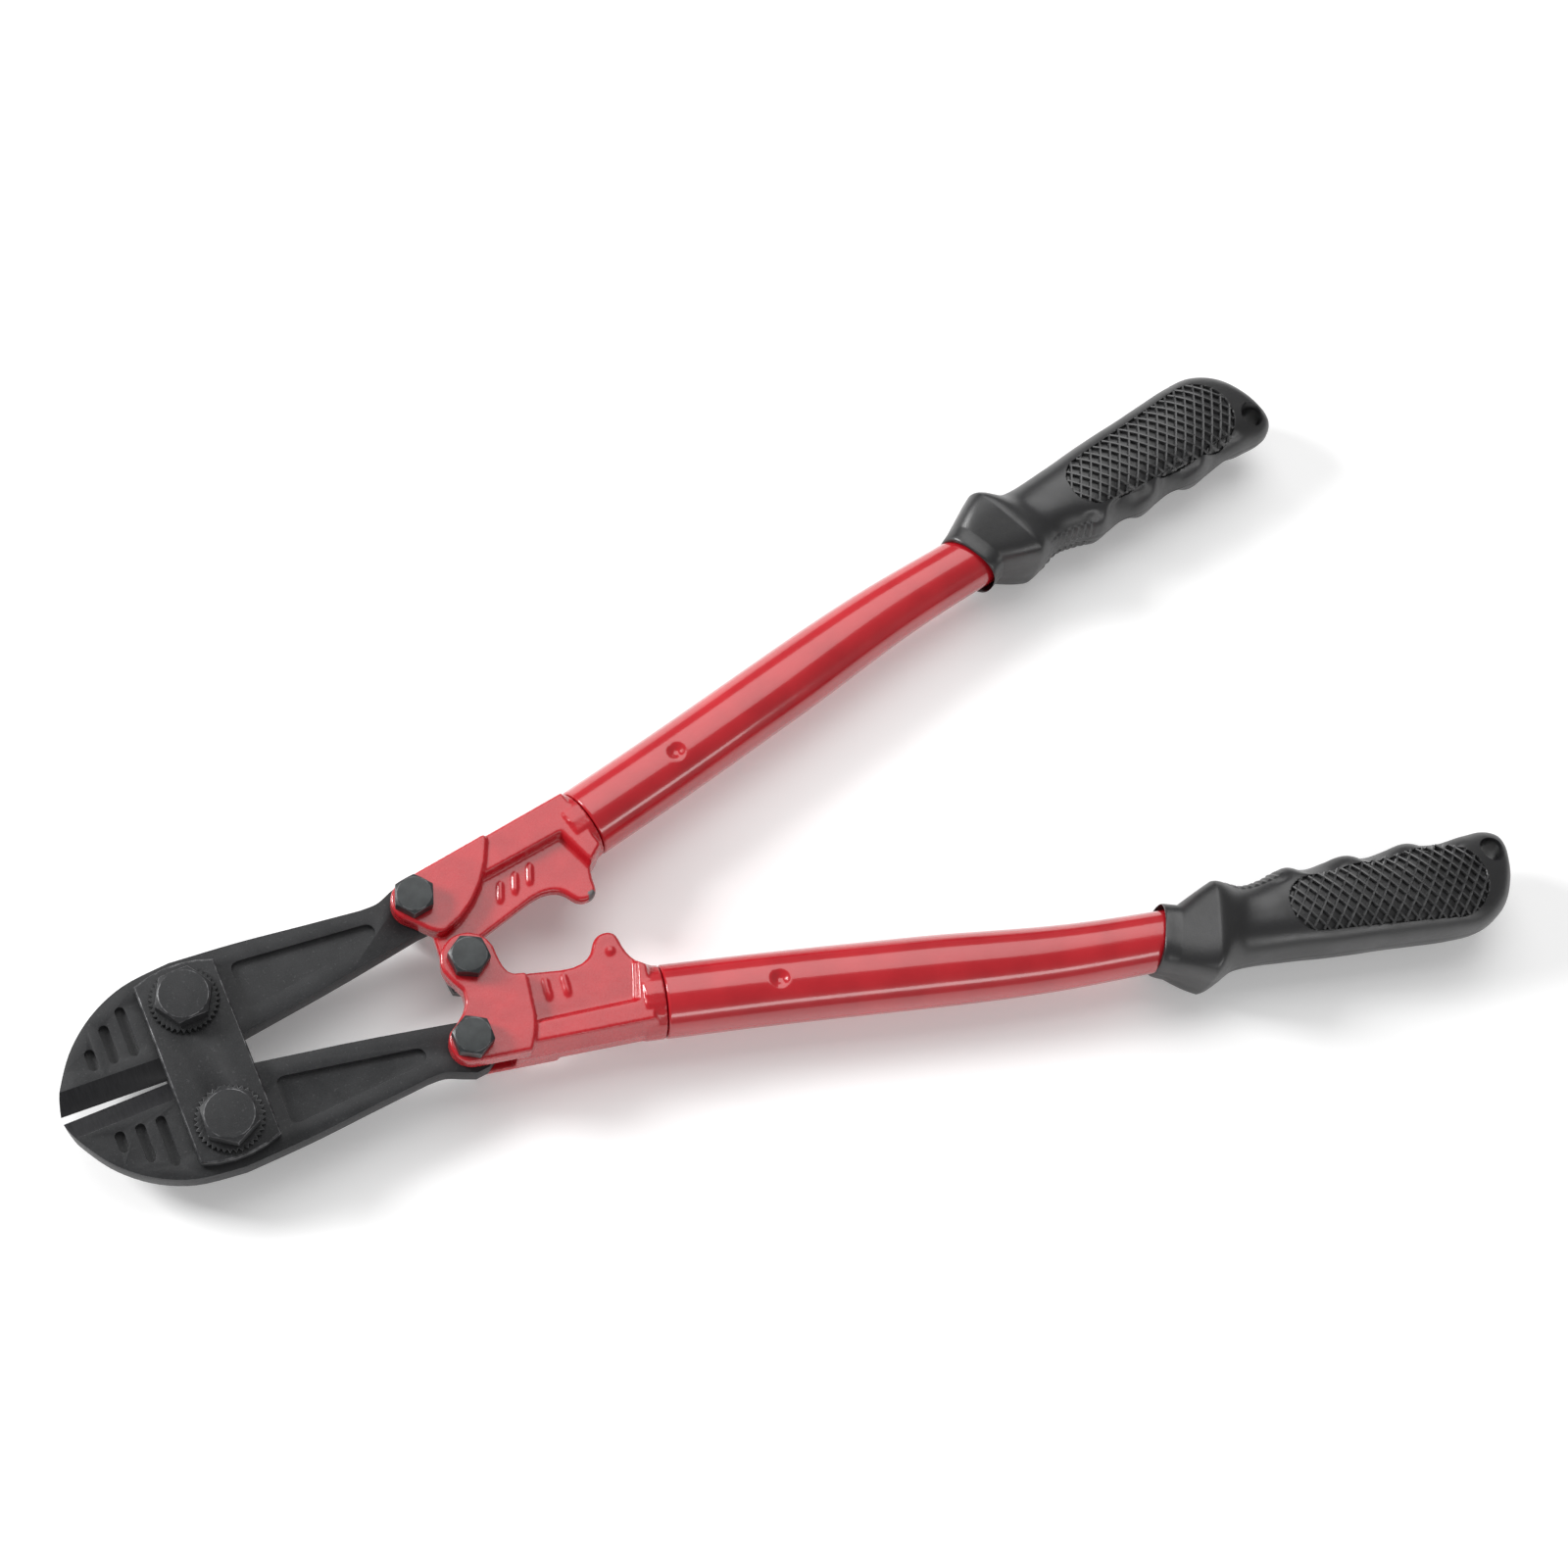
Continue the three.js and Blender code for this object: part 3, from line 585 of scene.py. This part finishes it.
# %% [markdown]
# ## The tubes
# Each handle is a steel tube on a gentle curve. A round profile is carried along that curve, out
# along the outside, over a rolled lip, and back along the inside, so the wall is one closed skin.
# A round dimple is pressed into the tube's wall, front and rear, to lock it on the head.

# %% The line that both handles follow
HANDLE_LINE = [(129.8, 30.4), (164, 39.2), (205, 50.4), (250, 62.7), (288, 70.8), (386, 90.4)]
fine = through(HANDLE_LINE, np.linspace(0, 5, 4001), rooted=True)
run = np.concatenate([[0], np.cumsum(np.linalg.norm(np.diff(fine, axis=0), axis=1))])
LENGTH = run[-1]
heading = np.gradient(fine, run, axis=0)
print("handle line, mm:", round(LENGTH, 1))


def on_line(distance):
    """Centre and direction across the tube, at distances from the seam; straight past either end."""
    held = np.clip(distance, 0, LENGTH)
    centre = np.stack([np.interp(held, run, fine[:, i]) for i in (0, 1)], 1)
    ahead = np.stack([np.interp(held, run, heading[:, i]) for i in (0, 1)], 1)
    ahead /= np.linalg.norm(ahead, axis=1, keepdims=True)
    centre = centre + (distance - held)[:, None] * ahead
    return centre, np.stack([-ahead[:, 1], ahead[:, 0]], 1)


# %% Handle tubes
CLEARANCE = 0.3
TUBE_RADIUS, TUBE_TAPER, TUBE_WALL = 11.2, 1.7, 1.7
LIP = 0.7  # radius of the rolled lip at the seam
CRIMP_AT, CRIMP_RADIUS, CRIMP_DEEP = 35, 3.6, 1.5
OUTSIDE_ROWS, INSIDE_ROWS = 380, 60


def tube_radius(distance):
    return TUBE_RADIUS - TUBE_TAPER * eased(distance, 0.3 * LENGTH, 0.62 * LENGTH)


def tube_grid(sign, columns=96):
    """centre(d) + r(d, a) (cos a across + sin a up). Along the lip r grows as a quarter circle, on the
    way back it is less by the wall, and it loses a dimple round each crimp's middle."""
    lip = np.linspace(0, math.pi / 2, 5)
    straight = np.linspace(1.1, LENGTH - 0.2, OUTSIDE_ROWS)
    outside = np.concatenate([CLEARANCE + LIP * (1 - np.cos(lip)), straight])
    inside = np.linspace(LENGTH - 0.2, CLEARANCE, INSIDE_ROWS)
    rolled, back = LIP * (1 - np.sin(lip)), np.full(INSIDE_ROWS, TUBE_WALL)
    shrink = np.concatenate([rolled, np.zeros(OUTSIDE_ROWS), back])
    distance = np.concatenate([outside, inside])[:, None]
    angle = once_round(columns)
    radius = tube_radius(distance) - shrink[:, None]
    off = np.hypot(distance - CRIMP_AT, radius * np.cos(angle))
    dimple = CRIMP_DEEP * (1 - eased(off, 0.4, CRIMP_RADIUS))
    outer = (np.arange(len(distance)) < len(outside))[:, None]
    radius = radius - np.where(outer, dimple, 0)
    centre, across = on_line(distance[:, 0])
    plan = centre[:, None, :] + (radius * np.cos(angle))[..., None] * across[:, None, :]
    height = radius * np.sin(angle)
    return placed(np.stack([plan[..., 0], sign * plan[..., 1], height], -1))


for side, sign in (("upper", 1), ("lower", -1)):
    piece = surface(side + "_tube_skin", tube_grid(sign), RED_TUBE, wrap_rows=True)
    shown_for(smoothed(piece, 60), side + "_tube")
    print(piece.name, len(piece.data.polygons), "faces")

# %% [markdown]
# ## The heads
# A sand casting has no sharp edge anywhere. Voxel remeshing turns the CAD solid, and whatever is
# pressed into it, into one even skin, and a few rounds of smoothing then melt every edge alike.
# Foundries raise marks on the web; here they are plain bars.

# %% Raised bars
WEB_FACE = 6.6  # height of the heads' sunken webs
POLE = 0.05  # how far short of its poles, in radians, a bar's grid stops
BAR = {"length": 7, "width": 1.7, "height": 0.7}
PIP = {"length": 2.4, "width": 2.4, "height": 0.6}


def raised_bar(centre, slant, length, width, height):
    """A rounded bar on the web, turned by slant radians: an ellipsoid with a squared-off section,
    |x/a|^4 + |y/b|^4 + |z/c|^2 = 1."""
    polar = np.linspace(POLE, math.pi - POLE, 12)[:, None]
    angle = once_round(24)
    x = length / 2 * bent(np.sin(polar), 0.5) * bent(np.cos(angle), 0.5)
    y = width / 2 * bent(np.sin(polar), 0.5) * bent(np.sin(angle), 0.5)
    z = height * np.cos(polar) + 0 * angle
    c, s = math.cos(slant), math.sin(slant)
    return placed(np.stack([centre[0] + c * x - s * y, centre[1] + s * x + c * y, WEB_FACE + z], -1))


UPPER_MARKS = [raised_bar((97 + 5.2 * i, 17.2 + 1.1 * i), 1.2, **BAR) for i in range(3)]
LOWER_MARKS = [raised_bar((98.5 + 5.6 * i, -15.6 - 0.9 * i), 1.45, **BAR) for i in range(2)]
LOWER_MARKS.append(raised_bar((120.5, -11.5), 0.3, **PIP))
print("raised marks:", len(UPPER_MARKS), "on the upper head and", len(LOWER_MARKS), "on the lower")

# %% Castings


def casting(node, marks, voxel=0.42, rounds=7):
    """The head and its marks as one skin of voxel mm, melted by so many rounds of smoothing."""
    body = merged_copy(node, node + "_casting")
    for grid in marks:
        mark = surface("mark", grid, RED_CAST)
        work = bmesh.new()
        work.from_mesh(body.data)
        work.from_mesh(mark.data)
        work.to_mesh(body.data)
        work.free()
        bpy.data.objects.remove(mark)
    remesh = body.modifiers.new("skin", "REMESH")
    remesh.mode = "VOXEL"
    remesh.voxel_size = voxel * MM
    melt = body.modifiers.new("melt", "SMOOTH")
    melt.factor = 0.5
    melt.iterations = rounds
    settled(body)
    body.data.materials.clear()
    body.data.materials.append(RED_CAST)
    smoothed(body, 180)
    print(body.name, len(body.data.polygons), "faces")
    return shown_for(body, node)


casting("upper_head", UPPER_MARKS)
casting("lower_head", LOWER_MARKS)

# %% [markdown]
# ## The grips
# A grip is known by where its outer edge, its inner edge and its face lie at a few stations: mouth,
# collar, neck, four finger waves and the round end. Between the mouth and the crest of the collar
# the mould is straight; after it, curves pass through the stations. The section is a squared oval.

# %% Grip stations and section
END = 407.4
OUTER = [(282, 81.2), (291.5, 88.9), (303.5, 87.2), (321.5, 91), (335, 94.6), (345, 97.1), (354, 99.2),
         (365, 102), (376, 104.7), (386, 105.9),
         (END - 11.9, 102.9), (END - 5.4, 96.5), (END - 1.6, 89), (END, 84)]
INNER = [(292.6, 62.2), (304.9, 59.7), (315, 64), (323, 64.7), (331.5, 63.6), (341, 66.4), (351, 66.9),
         (362, 70.2), (373.5, 70.8), (386, 74.6),
         (END - 12.4, 75.7), (END - 5.9, 76.5), (END - 2, 78.5), (END, 81.6)]
HALF = [11.3, 15.8, 12.6, 12.8, 13, 13, 13, 13, 12.8, 11.6, 10, 8.4, 6, 2.4]  # half thickness
LAST = len(HALF) - 1
OVAL, COLLAR_SQUARER, BODY_SQUARER = 2.3, 2.2, 0.45


def stations(t):
    """Centre, half width vector and half thickness at station numbers t. Each is a curve through the
    stations, except from the mouth to the collar, where it is straight."""
    ahead, mouth = t[:, None], (t < 1)[:, None]
    found = []
    for points in (OUTER, INNER, list(enumerate(HALF))):
        straight = (1 - ahead) * np.array(points[0]) + ahead * np.array(points[1])
        found.append(np.where(mouth, straight, through(points, t)))
    outer, inner, half = found
    return (outer + inner) / 2, (outer - inner) / 2, half[:, 1]


def squareness(t):
    """The section's power: 2 is an ellipse, more is squarer. The collar is squarest."""
    collar = np.exp(-((t - 0.7) / 0.75) ** 2)
    return OVAL + COLLAR_SQUARER * collar + BODY_SQUARER * eased(t, 2.2, 4) * (1 - eased(t, 9, 12))


print("grip stations:", len(HALF))

# %% [markdown]
# Each face has a panel let into it, which holds the ridges. In plan it is a band that widens toward
# the end of the grip and is round at both ends, so one distance tells how far inside it a point is.

# %% The panel
PANEL_FROM, PANEL_TO = np.array([332.9, 79.4]), np.array([379.9, 88.6])
PANEL_HALF, PANEL_WIDENS = 9.1, 3.6
PANEL_DEEP = 1.2


def inside_panel(plan):
    """How far inside the tapered, round-ended panel a point in plan lies, in millimetres."""
    axis = PANEL_TO - PANEL_FROM
    along = np.clip(((plan - PANEL_FROM) @ axis) / (axis @ axis), 0, 1)
    nearest = PANEL_FROM + along[..., None] * axis
    return PANEL_HALF + PANEL_WIDENS * along - np.linalg.norm(plan - nearest, axis=-1)


panel_length = np.linalg.norm(PANEL_TO - PANEL_FROM) + 2 * PANEL_HALF + PANEL_WIDENS
print("panel length, mm:", round(float(panel_length), 1))

# %% [markdown]
# The inner edge has scoops for the fingers, cut by lowering the section's power between the crests,
# so they fade out before they reach the panel. Near the collar a patch of small ribs stands out from
# that edge, and the line where the mould's halves met runs along both edges.

# %% The grip's outside
FINGERS_BEGIN, FINGERS_FADE = (322, 334), (384, 396)
FINGER_PITCH, FIRST_CREST, SCOOP = 21, 332.5, 1.15
RIBS_BEGIN, RIBS_FADE = (308, 311), (327, 330)
RIB_PITCH, RIB_HIGH = 2.4, 0.6
SEAM_WIDE, SEAM_HIGH = 0.03, 0.18


def grip_skin(t, angle):
    """centre + c across + u up, with |c|^n + |u|^n = 1. Then the panels are sunk into the faces, and
    ribs and seam are pushed out sideways."""
    centre, across, half = stations(t)
    fingers = eased(centre[:, 0], *FINGERS_BEGIN) * (1 - eased(centre[:, 0], *FINGERS_FADE))
    crest = np.abs(np.cos(math.pi * (centre[:, 0] - FIRST_CREST) / FINGER_PITCH)) ** 5
    scoop = SCOOP * (fingers * (1 - crest))[:, None] * eased(-np.cos(angle), 0.5, 0.75)
    power = 2 / (squareness(t)[:, None] - scoop)
    sideways, upward = bent(np.cos(angle), power), bent(np.sin(angle), power) * half[:, None]
    plan = centre[:, None, :] + sideways[..., None] * across[:, None, :]
    panel = eased(inside_panel(plan), 0, 0.35) * (np.abs(upward) > 4)
    upward = upward - np.sign(upward) * PANEL_DEEP * panel
    ribs = eased(plan[..., 0], *RIBS_BEGIN) * (1 - eased(plan[..., 0], *RIBS_FADE)) * (np.cos(angle) < -0.8)
    saw = np.abs((plan[..., 0] / RIB_PITCH) % 1 - 0.5) * 2
    seam = np.exp(-((np.sin(angle) / SEAM_WIDE) ** 2)) * SEAM_HIGH
    push = seam + RIB_HIGH * ribs * saw * (np.abs(np.sin(angle)) > 0.12)
    outward = across / np.linalg.norm(across, axis=1, keepdims=True)
    plan = plan + (push * np.sign(np.cos(angle)))[..., None] * outward[:, None, :]
    return np.stack([plan[..., 0], plan[..., 1], upward], -1)


# %% [markdown]
# Inside is a bore that the tube ends in. It follows the handle's line, but the mouth is cut at a
# slant, so its last ring is slid along the line into the mouth's own plane. A rounded rim joins the
# two, and rows from the bore's closed end to the tip of the grip make one closed skin.

# %% The grips
LAST_STRETCH = 12  # from the bore's last square ring to its slanted mouth
RIM_BULGE = 0.45


def grip_bore(mouth, slant, angle):
    """Rings round the handle's line, from the bore's closed end to the mouth. The last ring is slid
    into the plane through the mouth's centre whose normal is slant."""
    sampled = np.linspace(0, LENGTH, 2000)
    nearest = ((mouth - on_line(sampled)[0]) ** 2).sum(1).argmin()
    reached = nearest * LENGTH / (len(sampled) - 1)
    distance = np.append(np.linspace(LENGTH + CLEARANCE, reached + LAST_STRETCH, 16), reached)
    middle, aside = on_line(distance)
    radius = tube_radius(distance)[:, None] + CLEARANCE
    wall = middle[:, None, :] + (radius * np.cos(angle))[..., None] * aside[:, None, :]
    ahead = np.array([aside[-1, 1], -aside[-1, 0]])
    slide = ((mouth - wall[-1]) @ slant) / (ahead @ slant)
    wall[-1] += slide[:, None] * ahead
    return np.stack([wall[..., 0], wall[..., 1], radius * np.sin(angle)], -1)


def grip_grid(sign, columns=228):
    """Rows go from the bore's closed end out to the mouth, over the rim, and along the outside to the
    end. The rim is straight from bore to skin, plus a bulge that is 0 at both."""
    angle = once_round(columns)
    t = np.concatenate([np.linspace(0, 1, 22), np.linspace(1, 2, 22)[1:], np.linspace(2, LAST, 350)[1:]])
    outside = grip_skin(t, angle)
    centre, across, _ = stations(t)
    slant = np.array([across[0, 1], -across[0, 0]])
    bore = grip_bore(centre[0], slant, angle)
    share = np.linspace(0, 1, 12)[1:-1, None, None]
    rim = (1 - share) * bore[-1] + share * outside[0]
    rim[..., :2] += slant * np.sign(slant @ [-1, 0]) * RIM_BULGE * (1 - (2 * share - 1) ** 4)
    grid = np.concatenate([bore, rim, outside])
    grid[..., 1] *= sign
    return placed(grid)


for side, sign in (("upper", 1), ("lower", -1)):
    grip = surface(side + "_grip_moulding", grip_grid(sign), RUBBER)
    print(grip.name, len(grip.data.polygons), "faces")

# %% [markdown]
# The hole to hang the tool by is cut with a Boolean. Its cutter is a waisted surface of revolution,
# widest at the faces, so the hole's edges come out rounded.

# %% Hang holes
HOLE_FROM_END, HOLE_Y = 7.4, 84
HOLE_RADIUS, HOLE_FLARE = 3.4, 1.5
DRILL_HALF = 14


def hole_grid(sign, columns=48):
    """A body of revolution whose radius is 3.4 in the middle and grows by 1.5 toward each face."""
    height = np.linspace(-DRILL_HALF, DRILL_HALF, 41)[:, None]
    angle = once_round(columns)
    radius = HOLE_RADIUS + HOLE_FLARE * eased(np.abs(height), 6.2, 9.5)
    x = END - HOLE_FROM_END + radius * np.cos(angle)
    y = sign * (HOLE_Y + radius * np.sin(angle))
    return placed(np.stack([x, y, height + 0 * angle], -1))


for side, sign in (("upper", 1), ("lower", -1)):
    grip = bpy.data.objects[side + "_grip_moulding"]
    drill = surface("drill", hole_grid(sign), RUBBER)
    cut = grip.modifiers.new("hole", "BOOLEAN")
    cut.operation = "DIFFERENCE"
    cut.solver = "EXACT"
    cut.object = drill
    settled(grip)
    bpy.data.objects.remove(drill)
    shown_for(smoothed(grip, 42), side + "_grip")
    print(grip.name, "after the hole:", len(grip.data.polygons), "faces")

# %% [markdown]
# The panel on each face of a grip is crossed by two sets of thin raised ridges. Drawing them into
# the moulding would need a very fine grid, so each ridge is a strip of its own: a low roof carried
# along a straight line in plan, that follows the height of the face under it.

# %% The shape of one ridge
RIDGE_FOOT, RIDGE_TOP = 0.4, 0.27  # half widths
TOP_DROP, SHOULDER_DROP = -0.02, -0.35  # from the face that the panel was cut from


def face_height(plan):
    """Height of the grip's face over points in plan, by finding the station that each lies on: a
    first guess is bettered four times by the point's share of the way across."""
    sampled = np.linspace(2, LAST, 400)
    middle = stations(sampled)[0][:, 0]
    t = np.interp(plan[:, 0], middle, sampled)
    for _ in range(4):
        centre, across, half = stations(t)
        share = ((plan - centre) * across).sum(1) / (across**2).sum(1)
        t = np.interp(plan[:, 0] - share * across[:, 0], middle, sampled)
    power = squareness(t)
    return half * (1 - np.abs(np.clip(share, -0.999, 0.999)) ** power) ** (1 / power)


def ridge(start, heading, reach):
    """Plan points along one line that lie in the panel, or None if too few do."""
    line = start + np.linspace(-reach, reach, 241)[:, None] * heading
    kept = line[inside_panel(line) > -0.1]
    return kept if len(kept) > 3 else None


def roof(line, heading):
    """A closed strip: rows along the line; columns are the roof's six corners."""
    aside = np.array([-heading[1], heading[0]])
    height = face_height(line)
    offsets = np.array([-RIDGE_FOOT, -RIDGE_TOP, RIDGE_TOP, RIDGE_FOOT, RIDGE_FOOT, -RIDGE_FOOT])
    root = -PANEL_DEEP - 0.3
    drops = np.array([SHOULDER_DROP, TOP_DROP, TOP_DROP, SHOULDER_DROP, root, root])
    plan = line[:, None, :] + offsets[None, :, None] * aside
    return np.concatenate([plan, (height[:, None] + drops)[..., None]], -1)


# %% Diamond ridges
RIDGE_SPACING = 3.25
RIDGE_SLANT = math.radians(51)  # to either side of the panel's axis
RIDGES_EACH_WAY = 18  # lines on either side of the panel's middle, more than enough to fill it
RIDGE_REACH = 48
ROOF_ENDS = np.array([[0, 1, 2, 3], [0, 3, 4, 5]])  # two quads that close an end


def lattice(name, sign, face):
    """All the ridges of one panel in one mesh; sign is the handle's side and face is front or rear."""
    points, faces, count = [], [], 0
    axis = math.atan2(*(PANEL_TO - PANEL_FROM)[::-1])
    for slope in (axis + RIDGE_SLANT, axis - RIDGE_SLANT):
        heading = np.array([math.cos(slope), math.sin(slope)])
        aside = np.array([-heading[1], heading[0]])
        for step in range(-RIDGES_EACH_WAY, RIDGES_EACH_WAY + 1):
            start = (PANEL_FROM + PANEL_TO) / 2 + RIDGE_SPACING * step * aside
            line = ridge(start, heading, RIDGE_REACH)
            if line is None:
                continue
            strip = roof(line, heading) * np.array([1, sign, face])
            rows, columns = strip.shape[:2]
            quads = grid_faces(rows, columns, False)
            quads = np.concatenate([quads, ROOF_ENDS[:, ::-1], ROOF_ENDS + (rows - 1) * columns])
            flat = placed(strip.reshape(-1, 3))
            if signed_volume(flat - flat.mean(0), quads) < 0:
                quads = quads[:, ::-1]
            points.append(flat)
            faces.append(quads + count)
            count += len(flat)
    # The ridges take the finish whose paler colour is painted light on their tops.
    piece = mesh_piece(name, np.concatenate(points), np.concatenate(faces).tolist(), PAINTED_LIT_RIDGE_RUBBER)
    return smoothed(piece, 40)


for side, sign in (("upper", 1), ("lower", -1)):
    for word, face in (("front", 1), ("rear", -1)):
        piece = lattice(f"{side}_{word}_ridges", sign, face)
        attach(piece, side + "_handle")
        print(piece.name, len(piece.data.polygons), "faces")

# %% [markdown]
# ## Floor and light
# A white sheet under the tool and large soft lights give the even, nearly shadowless look of a
# catalogue. The gaps between the lights are what draw the dark lines along the glossy tubes.

# %% Floor
SHEET_HALF, SHEET_SIDES = 3, 12  # metres, and squares along a side
SHEET_DROP = 0.3 * MM  # the sheet lies this far under the lowest face
PAPER = {"Base_Color": (0.92, 0.92, 0.92, 1), "Specular_IOR_Level": 0.1}
GLOW = {"Emission_Color": (1, 1, 1, 1), "Emission_Strength": 0.16}


def white_sheet(place):
    return {"Roughness": place.noise(400, 1) * 0.1 + 0.6}


lines = SHEET_SIDES + 1
spots = np.linspace(-SHEET_HALF, SHEET_HALF, lines)
x, y = np.meshgrid(spots, spots, indexing="ij")
sheet_points = np.stack([x, y, np.full((lines, lines), cad_box[0][2] - SHEET_DROP)], -1).reshape(-1, 3)
index = (np.arange(SHEET_SIDES)[:, None] * lines + np.arange(SHEET_SIDES)[None, :]).reshape(-1)
squares = np.stack([index, index + lines, index + lines + 1, index + 1], 1).tolist()
floor = mesh_piece("floor", sheet_points, squares, finish("white_sheet", white_sheet, **PAPER, **GLOW))
print("floor, m:", 2 * SHEET_HALF, "each way")

# %% Lights
ALMOST_UP = [0, 0.01, 1]  # so that a light straight overhead still has a sideways


def soft_light(name, place, size, power):
    """A rectangle of light at a place in metres, turned to the origin; size in metres, power in watts."""
    lamp = bpy.data.lights.new(name, "AREA")
    lamp.shape = "RECTANGLE"
    lamp.size, lamp.size_y = size
    lamp.energy = power
    backwards = np.array(place, float) / np.linalg.norm(place)
    sideways = np.cross(ALMOST_UP, backwards)
    sideways /= np.linalg.norm(sideways)
    light = added(name, lamp)
    light.matrix_world = posed((sideways, np.cross(backwards, sideways), backwards), place)


soft_light("overhead", (0.3, 0.72, 1.15), (1.3, 1.4), 12.5)
soft_light("key", (-1.0, 0.8, 0.75), (0.4, 0.4), 19)
soft_light("front", (0.1, -1.15, 0.6), (1.6, 0.22), 5)
world = bpy.data.worlds.new("studio")
world.use_nodes = True
background = world.node_tree.nodes["Background"].inputs
background["Color"].default_value = (1, 1, 1, 1)
background["Strength"].default_value = 0.26
bpy.context.scene.world = world
bpy.context.scene.view_settings.view_transform = "Standard"
